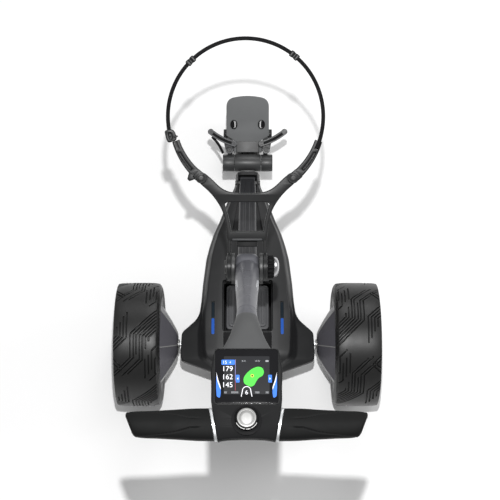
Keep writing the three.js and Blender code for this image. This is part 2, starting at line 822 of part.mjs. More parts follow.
function hingeClevis() {
  const h = { y: hingeAlong, z: -hingeOffset };
  const outline = [
    [h.y - 92, 19.5],
    [h.y - 56, 19.5],
    [h.y - 22, 4],
    [h.y + 22, -28],
    [h.y - 8, -62],
    [h.y - 34, -36],
    [h.y - 44, -25],
    [h.y - 92, -20.5],
  ];
  const cheek = (side) => {
    const [a, b] = [side * cheeks.inner, side * cheeks.outer].sort((p, q) => p - q);
    return join(sidePlate(outline, a, b), barX(27, a, b, h.y, h.z, 32));
  };
  const sleeve = sidePlate(
    [
      [h.y - 92, 19.5],
      [h.y - 56, 19.5],
      [h.y - 36, 10],
      [h.y - 36, -20],
      [h.y - 92, -20.5],
    ],
    -cheeks.outer,
    cheeks.outer,
  );
  const body = cut(
    join(cheek(1), cheek(-1), sleeve),
    box(
      -tube.half - GAP,
      tube.half + GAP,
      h.y - 100,
      tube.end + GAP,
      -tube.thick - GAP,
      tube.thick + GAP,
    ),
    barX(knuckle.radius + 1.2, -cheeks.inner, cheeks.inner, h.y, h.z, 32),
    barX(6 + GAP, -60, 60, h.y, h.z, 24),
  );
  add("hinge_clevis", body, material.structure, spine);
  const bolt = join(
    barX(6, -44, 60, h.y, h.z, 24),
    barX(13, -44, -39, h.y, h.z, 24),
  );
  add("hinge_bolt", bolt, material.steel, spine);
  // Clamping knob on the right: eight lobes and a domed face.
  const lobes = 8;
  const points = Array.from({ length: lobes * 4 }, (_, i) => {
    const turn = (2 * Math.PI * i) / (lobes * 4);
    const radius = 21.5 + 1.5 * Math.cos(lobes * turn);
    return [h.y + radius * Math.cos(turn), h.z + radius * Math.sin(turn)];
  });
  const dome = turned(
    [
      [6.4, 50],
      [20, 50],
      [19, 55],
      [15, 59],
      [6.4, 61],
    ],
    24,
  ).translate(0, h.y, h.z);
  const grooved = cut(
    join(sidePlate(points, 39, 52), dome),
    barX(6 + GAP, 30, 70, h.y, h.z, 24),
  );
  add("hinge_knob", grooved, material.structure, spine);
}

// ---------------------------------------------------------------- upper bag support
const support = slopedGroup(hinge, bagTilt);
const supportDepth = { back: -16, front: 0 };
const lap = -8; // height where the arm's end lies on the bracket's end

// A stretch of the ring's band between two angles about the loop's centre.
function arcShape(from, to, inner, outer, taper = 0, middle = 0) {
  const shape = new THREE.Shape();
  const count = Math.max(4, Math.ceil(Math.abs(to - from) / 0.09));
  const at = (t, radius) => {
    const turn = from + (to - from) * t;
    return new THREE.Vector2(
      middle + radius * Math.cos(turn),
      ring.centre + radius * Math.sin(turn),
    );
  };
  const points = [];
  for (let i = 0; i <= count; i++) points.push(at(i / count, outer - (taper * i) / count));
  for (let i = count; i >= 0; i--) points.push(at(i / count, inner));
  shape.setFromPoints(points);
  return shape;
}

function supportBracket() {
  const half = new THREE.Shape();
  half.moveTo(-1, 50);
  half.lineTo(38.5, 50);
  half.lineTo(40, 72);
  half.bezierCurveTo(42, 90, 45, 106, 55, 122);
  half.bezierCurveTo(62, 133, 70, 144, 84, 155.5);
  half.lineTo(72, 173);
  half.bezierCurveTo(60, 163, 54, 152, 36, 146);
  half.bezierCurveTo(24, 143, 12, 143, -1, 143);
  const hatch = new THREE.Path();
  hatch.moveTo(-2, 69);
  hatch.lineTo(31, 69);
  hatch.bezierCurveTo(34, 90, 38, 105, 43, 120);
  hatch.quadraticCurveTo(42, 126, 32, 126);
  hatch.lineTo(-2, 126);
  const blade = cut(
    planPlate(half, supportDepth.back, supportDepth.front, 4),
    planPlate(new THREE.Shape(hatch.getPoints(4)), -40, 40),
  );
  const arc = planPlate(
    arcShape(pivotAngle - 0.16, pivotAngle - 0.02, 137, 158),
    supportDepth.back,
    supportDepth.front,
  );
  const lug = barZ(10.5, armPivot.x, armPivot.y, supportDepth.back, lap - GAP / 2, 28);
  const reach = cut(
    join(blade, arc, lug),
    barZ(12, armPivot.x, armPivot.y, lap - GAP / 2, 20, 28),
    barZ(3 + GAP, armPivot.x, armPivot.y, -40, 40, 16),
  );
  const leg = join(
    box(31, 38.5, -2, 56, supportDepth.back, supportDepth.front),
    barX(28, 31, 38.5, 0, 0, 32),
  );
  const tongue = box(-1, 20, 37, 54, -21, -12);
  const right = join(reach, leg, tongue);
  const body = cut(
    join(right, mirrorX(right)),
    barX(6 + GAP, -60, 60, 0, 0, 24),
  );
  add("bag_support", body, material.structure, support);
  for (const [name, side] of [["left", -1], ["right", 1]]) {
    const screw = join(
      barZ(3, side * armPivot.x, armPivot.y, supportDepth.back + 1, 5, 16),
      barZ(5.5, side * armPivot.x, armPivot.y, 2 + GAP, 5, 20),
    );
    add(`upper_arm_screw_${name}`, screw, material.steel, support);
  }
}

const armEnd = Math.atan2(-46, 138); // angle where the strap meets an arm's tip

function upperArms() {
  const front = 2;
  const lug = cut(
    join(
      planPlate(arcShape(pivotAngle + 0.085, armEnd, 138, 156, 4), supportDepth.back, front),
      planPlate(arcShape(pivotAngle, pivotAngle + 0.1, 137, 157), lap + GAP / 2, front),
      barZ(10.5, armPivot.x, armPivot.y, lap + GAP / 2, front, 28),
    ),
    barZ(12, armPivot.x, armPivot.y, -40, lap + GAP / 2, 28),
    barZ(3 + GAP, armPivot.x, armPivot.y, -40, 40, 16),
    planPlate(
      arcShape(armEnd - 0.11, armEnd + 0.1, ring.inner - GAP, ring.outer + GAP, 0, ring.x),
      ring.back - 0.4,
      0.4,
    ),
  );
  add("upper_arm_right", lug, material.structure, support);
  // The left arm also has a short thumb tab outside its screw.
  const tab = new THREE.Shape(
    [
      [98, 172],
      [112, 166],
      [116, 170],
      [112, 186],
    ].map(([x, y]) => new THREE.Vector2(x, y)),
  );
  const left = join(lug, cut(planPlate(tab, -6, front), barZ(12, armPivot.x, armPivot.y, -40, -7, 28)));
  add("upper_arm_left", mirrorX(left), material.structure, support);
}

const keeperAngles = {
  right: THREE.MathUtils.degToRad(51.3),
  left: THREE.MathUtils.degToRad(134.5),
};

function strapLoop() {
  const { inner, outer, back, front } = ring;
  const middle = (inner + outer) / 2;
  const gap = GAP / middle;
  const band = (from, to, grow = 0) =>
    planPlate(
      arcShape(from, to, inner - grow, outer + grow, 0, ring.x),
      back - grow,
      front + grow,
    );
  const leftTip = Math.PI - armEnd;
  add("strap_right", band(armEnd - 0.09, keeperAngles.right - gap), material.strap, support);
  add(
    "strap_top",
    band(keeperAngles.right + gap, keeperAngles.left - gap),
    material.strap,
    support,
  );
  add("strap_left", band(keeperAngles.left + gap, leftTip - 0.14), material.strap, support);
  for (const [name, angle] of Object.entries(keeperAngles)) {
    const sleeve = cut(
      band(angle - 0.062, angle + 0.062, 2.4),
      band(angle - 0.2, angle + 0.2, GAP),
    );
    add(`strap_keeper_${name}`, sleeve, material.structure, support);
  }
  // Hooked buckle between the strap's left end and the left arm's tip.
  const at = (turn) => [
    ring.x + middle * Math.cos(turn),
    ring.centre + middle * Math.sin(turn),
  ];
  const hook = join(
    planPlate(arcShape(leftTip - 0.135, leftTip - 0.012, 140, 156, 0, ring.x), -15, 2),
    barZ(11, ...at(leftTip - 0.075), -15, 4, 24),
  );
  const eye = barZ(4.5, ...at(leftTip - 0.09), -40, 40, 16);
  const clearArm = planPlate(arcShape(leftTip - 0.006, leftTip + 0.4, 120, 180), -40, 40);
  const clearStrap = planPlate(
    arcShape(leftTip - 0.4, leftTip - 0.138, 120, 180, 0, ring.x),
    -40,
    40,
  );
  add("strap_buckle", cut(hook, eye, clearArm, clearStrap), material.structure, support);
}

// ---------------------------------------------------------------- handle
// Points of the neck's centre line in the side view, from the stem's end to the console.
const stemEnd = {
  y: hinge.y + stemLength * Math.cos(stemAngle),
  z: hinge.z + stemLength * Math.sin(stemAngle),
};

function handleStem() {
  const along = (s) => ({
    y: hinge.y + s * Math.cos(stemAngle),
    z: hinge.z + s * Math.sin(stemAngle),
    angle: stemAngle,
  });
  const loops = [
    ovalLoop({ ...along(16), width: 45, depth: 38 }),
    ovalLoop({ ...along(70), width: 45, depth: 38 }),
    ovalLoop({ ...along(130), width: 43, depth: 36 }),
    ovalLoop({ ...along(215), width: 38, depth: 33 }),
    ovalLoop({ ...along(stemLength), width: 34, depth: 31 }),
  ];
  const sideways = (p) => new THREE.Vector2(p.x, p.y);
  const { radius, half } = knuckle;
  const barrel = barX(radius, -half, half, hinge.y, hinge.z, 36);
  const bore = barX(6 + GAP, -60, 60, hinge.y, hinge.z, 24);
  add("handle_knuckle", cut(barrel, bore), material.structure);
  const seat = barX(radius + GAP, -60, 60, hinge.y, hinge.z, 36);
  const stem = cut(loft(loops, sideways), seat);
  add("handle_stem", stem, material.tube);
}

// Half the console's width at each distance back from its front edge.
function consoleOutline(inset = 0) {
  const shape = new THREE.Shape();
  const side = [
    [44, consoleBody.front],
    [51, consoleBody.front - 3],
    [55, consoleBody.front - 10],
    [59, consoleBody.front - 38],
    [58, consoleBody.front - 66],
    [58, -322],
    [grip.trim + 2.1, -330],
    [grip.trim - 7.8, consoleBody.rear + 2],
    [grip.trim - 14, consoleBody.rear + 3.5],
    [30, consoleBody.rear + 4],
  ].map(([x, y]) => [x - inset, y]);
  const other = side.map(([x, y]) => [-x, y]).reverse();
  shape.setFromPoints([...side, ...other].map(([x, y]) => new THREE.Vector2(x, y)));
  return shape;
}

const display = { half: 51.5, front: -235.5, rear: -326, thick: 2 };
const dial = { y: -352, skirt: 19.5, cap: 15.7 };

// The console and cross bar thin out towards the user, like the grips beside them.
function roundedRear() {
  const { top, bottom, rear } = consoleBody;
  const under = [
    [rear - 20, top + 20],
    [rear - 20, bottom - 40],
    [-360, bottom - 40],
    [-372, bottom + 2],
    [rear + 1, bottom + 12],
    [rear, top - 14],
    [rear + 10, top - 3],
    [-366, top],
    [-366, top + 20],
  ];
  return sidePlate(under, -120, 120);
}

function consoleParts() {
  const { top, split, bottom } = consoleBody;
  const outline = consoleOutline();
  const core = barX(crossBar.radius + GAP, -220, 220, crossBar.y, crossBar.z, 28);
  const glassSeat = box(
    -display.half - GAP,
    display.half + GAP,
    display.rear - GAP,
    display.front + GAP,
    top - display.thick,
    top + 10,
  );
  const shell = cut(
    planPlate(outline, split + GAP, top),
    core,
    glassSeat,
    roundedRear(),
    barZ(dial.skirt + RUN, 0, dial.y, top - 3.5, top + 20, 32),
  );
  add("console_shell", shell, material.shell);

  // Gooseneck from the stem's end up to the underside of the console.
  const neckFoot = {
    y: stemEnd.y + GAP * Math.cos(stemAngle),
    z: stemEnd.z + GAP * Math.sin(stemAngle),
  };
  const loops = [
    ovalLoop({ ...neckFoot, angle: stemAngle, width: 35.5, depth: 32 }),
    ovalLoop({ y: -166, z: 881, angle: 2.25, width: 38, depth: 31 }),
    ovalLoop({ y: -187, z: 900, angle: 2.5, width: 48, depth: 30 }),
    ovalLoop({ y: -212, z: 912, angle: 2.8, width: 64, depth: 28 }),
    ovalLoop({ y: -240, z: 916, angle: 3.1, width: 84, depth: 26 }),
  ];
  const sideways = (p) => new THREE.Vector2(p.x, p.z);
  const neck = cut(
    loft(loops, sideways),
    box(-120, 120, -300, consoleBody.front + GAP, split, top + 20),
  );
  const base = cut(
    join(planPlate(consoleOutline(), bottom, split), neck),
    core,
    roundedRear(),
    box(-100, 100, -420, -236, split, top + 30),
  );
  add("console_base", base, material.structure);
  const glass = box(
    -display.half,
    display.half,
    display.rear,
    display.front,
    top - display.thick + GAP,
    top + 0.6,
  );
  add("display_glass", glass, material.glass);
  add(
    "handle_cross_tube",
    barX(crossBar.radius, -crossBar.half, crossBar.half, crossBar.y, crossBar.z, 28),
    material.steel,
  );
}

// Grip sections. x is where the section crosses the bar's axis, lean how far its front edge
// lies outside its rear edge, for each millimetre of depth.
const gripSections = [
  { x: grip.trim + 1.2, depth: 56, height: 35, lean: 0.175 },
  { x: 85, depth: 55, height: 35, lean: 0.18 },
  { x: 115, depth: 51, height: 34, lean: 0.19 },
  { x: 150, depth: 47, height: 33, lean: 0.21 },
  { x: 184, depth: 43, height: 31, lean: 0.2 },
  { x: grip.end, depth: 38, height: 26, lean: 0.2 },
];

function gripLoop({ x, depth, height, lean, shift = 0 }, sides = 24) {
  return Array.from({ length: sides }, (_, i) => {
    const turn = (2 * Math.PI * i) / sides;
    const dy = (depth / 2) * Math.cos(turn) * (1 - 0.06 * Math.cos(4 * turn));
    const dz = (height / 2) * Math.sin(turn);
    return new THREE.Vector3(x + lean * dy + shift, crossBar.y + dy, crossBar.z + dz);
  });
}

function grips() {
  const fromSide = (p) => new THREE.Vector2(p.y, p.z);
  const core = barX(crossBar.radius + GAP, 0, crossBar.half + GAP, crossBar.y, crossBar.z, 28);
  const body = cut(loft(gripSections.map((s) => gripLoop(s)), fromSide), core);
  // Thin metal ring between console and grip, leaning like the grip's inner face.
  const first = gripSections[0];
  const ringLoop = (shift) => gripLoop({ ...first, depth: 58, height: 36.5, shift });
  const trim = cut(loft([ringLoop(-3.4), ringLoop(-GAP - 0.2)], fromSide), core);
  for (const [name, side] of [["left", -1], ["right", 1]]) {
    add(`grip_${name}`, side > 0 ? body : mirrorX(body), material.grip);
    add(`grip_trim_${name}`, side > 0 ? trim : mirrorX(trim), material.trim);
  }
}

function dialParts() {
  const { skirt, cap, y } = dial;
  const floor = consoleBody.top - 3.5;
  const collar = cut(
    join(
      barZ(skirt, 0, y, floor + 2.5, consoleBody.top + 5, 32),
      barZ(skirt - 1.5, 0, y, consoleBody.top + 4, consoleBody.top + 8, 32),
    ),
    barZ(cap + 0.5, 0, y, floor, consoleBody.top + 20, 32),
  );
  add("dial_collar", collar, material.structure);
  add("dial_cap", barZ(cap, 0, y, floor + 2.5, consoleBody.top + 12, 32), material.trim);
}

// ---------------------------------------------------------------- put it together
chassisShells();
chassisFittings();
battery();
drive();
rearWheel("left", -1);
rearWheel("right", 1);
frontFork();
frontWheel();
basePlate();
lowerArms();
spineTube();
hingeClevis();
supportBracket();
upperArms();
strapLoop();
handleStem();
consoleParts();
grips();
dialParts();

// The origin is on the ground, midway between the front tyre and the rear of the grips.
const rearmost = crossBar.y - 29;
const foremost = frontAxle.y + frontTyre.radius;
const assembly = new THREE.Group();
trolley.position.y = -(rearmost + foremost) / 2;
assembly.add(trolley);
export default assembly;
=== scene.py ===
# Looks for the electric golf trolley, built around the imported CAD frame.
# Pieces are laid out in millimetres with the rear axle at y = 0, like the CAD, then placed in the row frame.
import json
import math

import bmesh
import bpy
import numpy as np
from mathutils import Matrix, Vector


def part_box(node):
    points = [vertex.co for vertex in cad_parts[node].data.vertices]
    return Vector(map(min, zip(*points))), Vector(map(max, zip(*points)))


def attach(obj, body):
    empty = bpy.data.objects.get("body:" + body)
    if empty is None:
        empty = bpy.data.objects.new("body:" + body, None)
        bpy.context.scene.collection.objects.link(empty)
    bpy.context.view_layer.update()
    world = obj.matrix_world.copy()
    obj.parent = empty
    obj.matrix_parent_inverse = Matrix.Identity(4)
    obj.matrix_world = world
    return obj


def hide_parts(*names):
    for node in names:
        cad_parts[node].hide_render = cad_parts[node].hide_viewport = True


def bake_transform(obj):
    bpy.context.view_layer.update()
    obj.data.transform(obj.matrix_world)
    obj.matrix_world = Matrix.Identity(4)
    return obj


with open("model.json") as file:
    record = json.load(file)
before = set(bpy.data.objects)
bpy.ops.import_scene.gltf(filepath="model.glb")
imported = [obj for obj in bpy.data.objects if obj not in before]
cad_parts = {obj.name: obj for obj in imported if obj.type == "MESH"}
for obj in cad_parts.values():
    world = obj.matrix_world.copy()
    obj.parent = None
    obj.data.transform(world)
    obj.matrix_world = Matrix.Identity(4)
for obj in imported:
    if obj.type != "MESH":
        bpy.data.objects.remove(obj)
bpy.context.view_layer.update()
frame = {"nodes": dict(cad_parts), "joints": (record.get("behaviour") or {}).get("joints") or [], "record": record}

RAD = math.radians
LINK = bpy.context.scene.collection.objects.link
MM = 0.001
SIDES = (("left", -1), ("right", 1))


# ------------------------------------------------------------------ places taken from the frame
def centre(node):
    low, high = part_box(node)
    return (low + high) / 2


joint_at = {j["name"]: Vector(j["pos_m"]) for j in frame["joints"] if j.get("pos_m")}
mounts = {m["name"]: m for m in frame["record"]["mounts"]}
axle = centre("rear_axle")
ROW = Matrix.Translation((0, axle.y, 0)) @ Matrix.Scale(MM, 4)


def layout(point):
    """A point of the row frame in layout millimetres."""
    return ROW.inverted() @ Vector(point)


AXLE = layout(axle)
HINGE = layout(joint_at["handle_fold"])
SPINE_FOOT = layout(joint_at["spine_fold"])
FRONT_AXLE = layout(joint_at["front_wheel_spin"])
up = Vector(mounts["bag_foot_rest"]["axis"])
BAG_TILT = math.atan2(-up.y, up.z)
foot_rest = layout(mounts["bag_foot_rest"]["pos_m"])
FOOT_ALONG = 74  # from the bag plate's rear edge up to the mount
BASE_EDGE = foot_rest - Vector((8, FOOT_ALONG * math.cos(BAG_TILT), FOOT_ALONG * math.sin(BAG_TILT)))
HINGE_OFFSET = 44  # how far the handle's hinge stands off the frame tube's line
to_hinge = Vector((HINGE.y - SPINE_FOOT.y, HINGE.z - SPINE_FOOT.z))
SPINE_TURN = math.atan2(to_hinge.y, to_hinge.x) + math.asin(HINGE_OFFSET / to_hinge.length)
SPINE_LONG = math.sqrt(to_hinge.length_squared - HINGE_OFFSET**2)


def sloped(origin, turn):
    return ROW @ Matrix.Translation((0, origin.y, origin.z)) @ Matrix.Rotation(turn, 4, "X")


BASE = sloped(BASE_EDGE, BAG_TILT)
SUPPORT = sloped(HINGE, BAG_TILT)
SPINE = sloped(SPINE_FOOT, SPINE_TURN)
STEM_TURN = RAD(125)  # the stem's slope, back and up from the hinge


# ------------------------------------------------------------------ materials
def node_tree(name):
    made = bpy.data.materials.new(name)
    made.use_nodes = True
    tree = made.node_tree
    return made, tree, tree.nodes["Principled BSDF"]


def values(node, **inputs):
    """Sets a node's inputs by name, with an underscore for each space."""
    for name, value in inputs.items():
        node.inputs[name.replace("_", " ")].default_value = value


def add(tree, kind, **inputs):
    node = tree.nodes.new("ShaderNode" + kind)
    values(node, **inputs)
    return node


def finish(
    name, colour, rough, metal=0.0, *, grain, bump, vary=0.18, wear=0.25, specular=0.5, streak=None, weave=0.0,
):
    """A moulded, painted or metal finish: fine grain, uneven tone and roughness, and paler worn edges."""
    made, tree, shader = node_tree(name)
    link = tree.links.new
    source = add(tree, "TexCoord").outputs["Object"]
    if streak:
        stretch = add(tree, "Mapping", Scale=streak)
        link(source, stretch.inputs["Vector"])
        source = stretch.outputs["Vector"]

    def noise(scale, detail):
        texture = add(tree, "TexNoise", Scale=scale, Detail=detail)
        link(source, texture.inputs["Vector"])
        return texture.outputs["Fac"]

    def ranged(value, **ends):
        scaled = add(tree, "MapRange", **ends)
        link(value, scaled.inputs["Value"])
        return scaled.outputs["Result"]

    def computed(operation, first, second):
        maths = add(tree, "Math")
        maths.operation = operation
        link(first, maths.inputs[0])
        link(second, maths.inputs[1])
        return maths.outputs["Value"]

    fine, broad, smudge = noise(grain, 3), noise(9, 4), noise(38, 5)
    tone = ranged(broad, To_Min=1 - vary, To_Max=1 + vary)
    speckle = ranged(fine, To_Min=1 - vary * 0.7, To_Max=1 + vary * 0.7)
    tint = add(tree, "VectorMath")
    tint.operation = "SCALE"
    tint.inputs[0].default_value = colour
    link(computed("MULTIPLY", tone, speckle), tint.inputs["Scale"])
    edge = add(tree, "NewGeometry").outputs["Pointiness"]
    mix = add(tree, "Mix")
    mix.data_type = "RGBA"
    mix.inputs["B"].default_value = (*[min(1.0, c * 2.2 + 0.03) for c in colour], 1)
    link(ranged(edge, From_Min=0.52, From_Max=0.6, To_Max=wear), mix.inputs["Factor"])
    link(tint.outputs["Vector"], mix.inputs["A"])
    link(mix.outputs["Result"], shader.inputs["Base Color"])
    rub = ranged(smudge, To_Min=max(0.03, rough - 0.09), To_Max=min(1.0, rough + 0.09))
    link(rub, shader.inputs["Roughness"])
    height = fine
    if weave:
        bands = add(tree, "TexWave", Scale=weave, Distortion=0.6)
        bands.wave_type = "BANDS"
        bands.bands_direction = "DIAGONAL"
        link(source, bands.inputs["Vector"])
        height = computed("ADD", bands.outputs["Fac"], fine)
    relief = add(tree, "Bump", Strength=bump, Distance=0.0004)
    link(height, relief.inputs["Height"])
    link(relief.outputs["Normal"], shader.inputs["Normal"])
    values(shader, Metallic=metal, Specular_IOR_Level=specular)
    made.diffuse_color = (*colour, 1)
    return made


def glow(name, colour, strength):
    """A lit part of the display: its own light over a dark glossy base, with a faint pixel grain."""
    made, tree, shader = node_tree(name)
    place = add(tree, "TexCoord")
    grain = add(tree, "TexNoise", Scale=700)
    level = add(tree, "MapRange", To_Min=strength * 0.85, To_Max=strength * 1.15)
    tree.links.new(place.outputs["Object"], grain.inputs["Vector"])
    tree.links.new(grain.outputs["Fac"], level.inputs["Value"])
    tree.links.new(level.outputs["Result"], shader.inputs["Emission Strength"])
    values(shader, Emission_Color=(*colour, 1), Base_Color=(*[c * 0.3 for c in colour], 1), Roughness=0.2)
    return made


look = {
    "shell": finish("satin_black_moulding", (0.014, 0.0143, 0.015), 0.42, grain=1500, bump=0.1, specular=0.32),
    "console": finish("console_moulding", (0.011, 0.0112, 0.0116), 0.66, grain=1600, bump=0.12, specular=0.07,
                      wear=0.5),
    "structure": finish("matt_black_moulding", (0.009, 0.0093, 0.0097), 0.36, grain=1200, bump=0.12, specular=0.17,
                        wear=0.35),
    "satin": finish("hinge_moulding", (0.018, 0.0185, 0.019), 0.42, grain=1200, bump=0.12, specular=0.5, wear=0.6),
    "lower": finish("lower_shell_moulding", (0.008, 0.0083, 0.0086), 0.6, grain=1100, bump=0.2, specular=0.2),
    "plate": finish("textured_grey_moulding", (0.115, 0.118, 0.12), 0.62, grain=1400, bump=0.3, vary=0.1,
                    specular=0.2),
    "tube": finish("graphite_paint", (0.085, 0.086, 0.096), 0.3, 0.0, grain=2600, bump=0.03, vary=0.06,
                   specular=0.1),
    "chrome": finish("dark_chrome", (0.42, 0.42, 0.43), 0.2, 1.0, grain=900, bump=0.02, vary=0.06, wear=0.0),
    "spine": finish("dark_graphite_paint", (0.022, 0.0225, 0.025), 0.4, 0.2, grain=2200, bump=0.06, vary=0.1,
                    specular=0.16),
    "neck": finish("warm_grey_moulding", (0.066, 0.067, 0.068), 0.5, grain=1500, bump=0.14, vary=0.1,
                   specular=0.14),
    "tyre": finish("tyre_rubber", (0.005, 0.005, 0.005), 0.42, grain=1700, bump=0.2, vary=0.22, wear=0.8,
                   specular=0.42),
    "rim": finish("graphite_wheel_moulding", (0.09, 0.088, 0.1), 0.36, 0.2, grain=1800, bump=0.06, vary=0.08,
                  specular=0.2),
    "grip": finish("soft_grip_rubber", (0.006, 0.0062, 0.0062), 0.6, grain=2200, bump=0.4, vary=0.14, specular=0.1),
    "trim": finish("bright_metal", (0.55, 0.56, 0.57), 0.42, 0.8, grain=600, bump=0.01, vary=0.05, wear=0.0),
    "steel": finish("plain_steel", (0.5, 0.51, 0.52), 0.32, 1.0, grain=500, bump=0.06, vary=0.12,
                    streak=(0.2, 6, 6)),
    "zinc": finish("zinc_plate", (0.2, 0.2, 0.195), 0.42, 0.9, grain=700, bump=0.1, vary=0.2),
    "burnished": finish("burnished_steel", (0.035, 0.035, 0.035), 0.42, 0.4, grain=800, bump=0.08, vary=0.2,
                        specular=0.3),
    "glass": finish("display_glass_black", (0.006, 0.006, 0.007), 0.1, grain=300, bump=0.0, vary=0.1, wear=0.0,
                    specular=0.25),
    "accent": finish("blue_insert", (0.010, 0.075, 0.36), 0.35, grain=1500, bump=0.05, vary=0.1, specular=0.25),
    "shaded_blue": finish("blue_insert_painted_shade", (0.004, 0.010, 0.016), 0.35, grain=1500, bump=0.05, vary=0.1, specular=0.15),
    "strap": finish("woven_webbing", (0.009, 0.009, 0.0095), 0.75, grain=1500, bump=0.7, specular=0.08, weave=150,
                    wear=0.2),
    "battery": finish("battery_moulding", (0.062, 0.063, 0.067), 0.5, grain=1300, bump=0.2, specular=0.4),
    # Near-black: the real knob, dial collar and socket parts, and also painted shade in the arm grooves, the
    # chassis seam, the tail trough and round the dial.
    "deep": finish("black_and_painted_shade", (0.004, 0.004, 0.0045), 0.55, grain=1200, bump=0.1, wear=0.05, specular=0.08),
    # A paler grey copy of the black moulding, used as painted light: the left lower arm's lit tone and the yoke
    # rib's painted highlight.
    "painted_light_grey": finish("grey_moulding_painted_light", (0.03, 0.031, 0.033), 0.44, grain=1300, bump=0.15, specular=0.3,
                       wear=0.9),
    "mark": finish("pale_marking", (0.42, 0.43, 0.45), 0.4, grain=900, bump=0.02, vary=0.08, wear=0.0),
    # Pale satin metal: the real speed button cap, and also the painted highlight lines on the hub ridges and the
    # dial's rim.
    "silver_and_highlight": finish("satin_silver_and_painted_highlight", (0.25, 0.25, 0.245), 0.45, 0.5, grain=900, bump=0.05, vary=0.06,
                     streak=(30, 1, 1)),
}


# ------------------------------------------------------------------ making pieces
def piece(name, mesh, body, paint, replaces=(), sharp=38):
    """Puts a finished mesh into the scene, riding on a body."""
    made = linked(name, mesh)
    mesh.materials.clear()
    mesh.materials.append(look[paint])
    mesh.shade_smooth()
    mesh.set_sharp_from_angle(angle=RAD(sharp))
    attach(made, body)
    if replaces:
        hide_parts(*replaces)
    return made


def edited(mesh, *steps):
    """Runs bmesh steps on a mesh in place."""
    bm = bmesh.new()
    bm.from_mesh(mesh)
    for step in steps:
        step(bm)
    bm.to_mesh(mesh)
    bm.free()
    return mesh


def outwards(bm):
    bmesh.ops.recalc_face_normals(bm, faces=bm.faces)


def merged(distance):
    return lambda bm: bmesh.ops.remove_doubles(bm, verts=bm.verts, dist=distance)


def evaluated(holder, *others):
    """The mesh an object gives once its modifiers or curve are worked out; the objects are then removed."""
    bpy.context.view_layer.update()
    made = bpy.data.meshes.new_from_object(holder.evaluated_get(bpy.context.evaluated_depsgraph_get()))
    for spare in (holder, *others):
        bpy.data.objects.remove(spare)
    return made


def linked(name, data):
    made = bpy.data.objects.new(name, data)
    LINK(made)
    return made


def strap(name, mesh, node):
    """A webbing piece in the strap's finish, smooth shaded, with its CAD node hidden."""
    made = linked(name, mesh)
    mesh.materials.append(look["strap"])
    mesh.shade_smooth()
    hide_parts(node)
    return made


def mesh_of(name, points, faces, place):
    """A closed mesh with its faces turned outwards."""
    mesh = bpy.data.meshes.new(name)
    mesh.from_pydata([tuple(p) for p in points], [], faces)
    mesh.transform(place)
    return edited(mesh, outwards)


def skin(name, rows, place=ROW, ring=False):
    """A skin through rows of points, each row closed on itself. ring joins the last row to the first."""
    rows = np.asarray(rows, float)
    count, around = rows.shape[:2]
    faces = []
    for i in range(count if ring else count - 1):
        a, b = i * around, ((i + 1) % count) * around
        faces += [(a + j, a + (j + 1) % around, b + (j + 1) % around, b + j) for j in range(around)]
    if not ring:
        faces += [tuple(range(around)), tuple(range((count - 1) * around, count * around))]
    return mesh_of(name, rows.reshape(-1, 3), faces, place)


def rounded(points, radius, steps=4):
    """A closed outline with its corners rounded."""
    points = [np.array(p, float) for p in points]
    made = []
    for i, corner in enumerate(points):
        before, after = points[i - 1], points[(i + 1) % len(points)]
        a, b = before - corner, after - corner
        la, lb = np.linalg.norm(a), np.linalg.norm(b)
        reach = min(radius, la * 0.45, lb * 0.45)
        start, end = corner + a / la * reach, corner + b / lb * reach
        for k in range(steps + 1):
            t = k / steps
            made.append((1 - t) ** 2 * start + 2 * t * (1 - t) * corner + t**2 * end)
    return made


def plate(name, outlines, low, high, place, bevel, steps=3):
    """Flat outlines, the first one solid and the rest holes or islands, made thick with rounded edges."""
    curve = bpy.data.curves.new(name, "CURVE")
    curve.dimensions = "2D"
    curve.fill_mode = "BOTH"
    curve.extrude = (high - low) / 2 - bevel
    curve.bevel_depth = bevel
    curve.bevel_resolution = steps
    curve.offset = -bevel
    for outline in outlines:
        line = curve.splines.new("POLY")
        line.points.add(len(outline) - 1)
        for spot, p in zip(line.points, outline):
            spot.co = (p[0], p[1], 0, 1)
        line.use_cyclic_u = True
    mesh = edited(evaluated(linked(name, curve)), merged(0.002), outwards)
    mesh.transform(place @ Matrix.Translation((0, 0, (low + high) / 2)))
    mesh.update()
    return mesh


def joined(name, *meshes):
    """Several closed meshes as one."""
    bm = bmesh.new()
    for mesh in meshes:
        bm.from_mesh(mesh)
    made = bpy.data.meshes.new(name)
    bm.to_mesh(made)
    bm.free()
    return made


def mirrored(mesh):
    made = mesh.copy()
    made.transform(Matrix.Scale(-1, 4, (1, 0, 0)))
    made.flip_normals()
    return made


def sided(mesh, side):
    """A mesh made for the right side, mirrored when the left one is wanted."""
    return mesh if side > 0 else mirrored(mesh)


def boolean(mesh, tools):
    """The mesh with each tool cut away."""
    holder = linked("work", mesh)
    spares = [linked("tool", tool) for tool in tools]
    for other in spares:
        step = holder.modifiers.new("cut", "BOOLEAN")
        step.object = other
        step.operation = "DIFFERENCE"
        step.solver = "EXACT"
    return evaluated(holder, *spares)


def full_turn(sides):
    return np.linspace(0, 2 * math.pi, sides, endpoint=False)


def circles(profile, sides, wave):
    """The circle of each [radius, place] point, as its two flat coordinates and its place along the axis."""
    turn = full_turn(sides)
    for i, (radius, along) in enumerate(profile):
        r = np.full(sides, float(radius)) if wave is None else wave(i, radius, turn)
        yield r * np.cos(turn), r * np.sin(turn), np.full(sides, along)


def lathe_rows(profile, sides, centre_at, wave=None):
    """Rows of a body turned about X from [radius, x] points. wave changes a radius by angle and row."""
    return [np.stack([x, centre_at.y - u, centre_at.z + v], 1) for u, v, x in circles(profile, sides, wave)]


def turned(name, profile, centre_at, sides=72, wave=None):
    """A ring turned about X, whose profile closes on itself."""
    return skin(name, lathe_rows(profile, sides, centre_at, wave), ROW, ring=True)


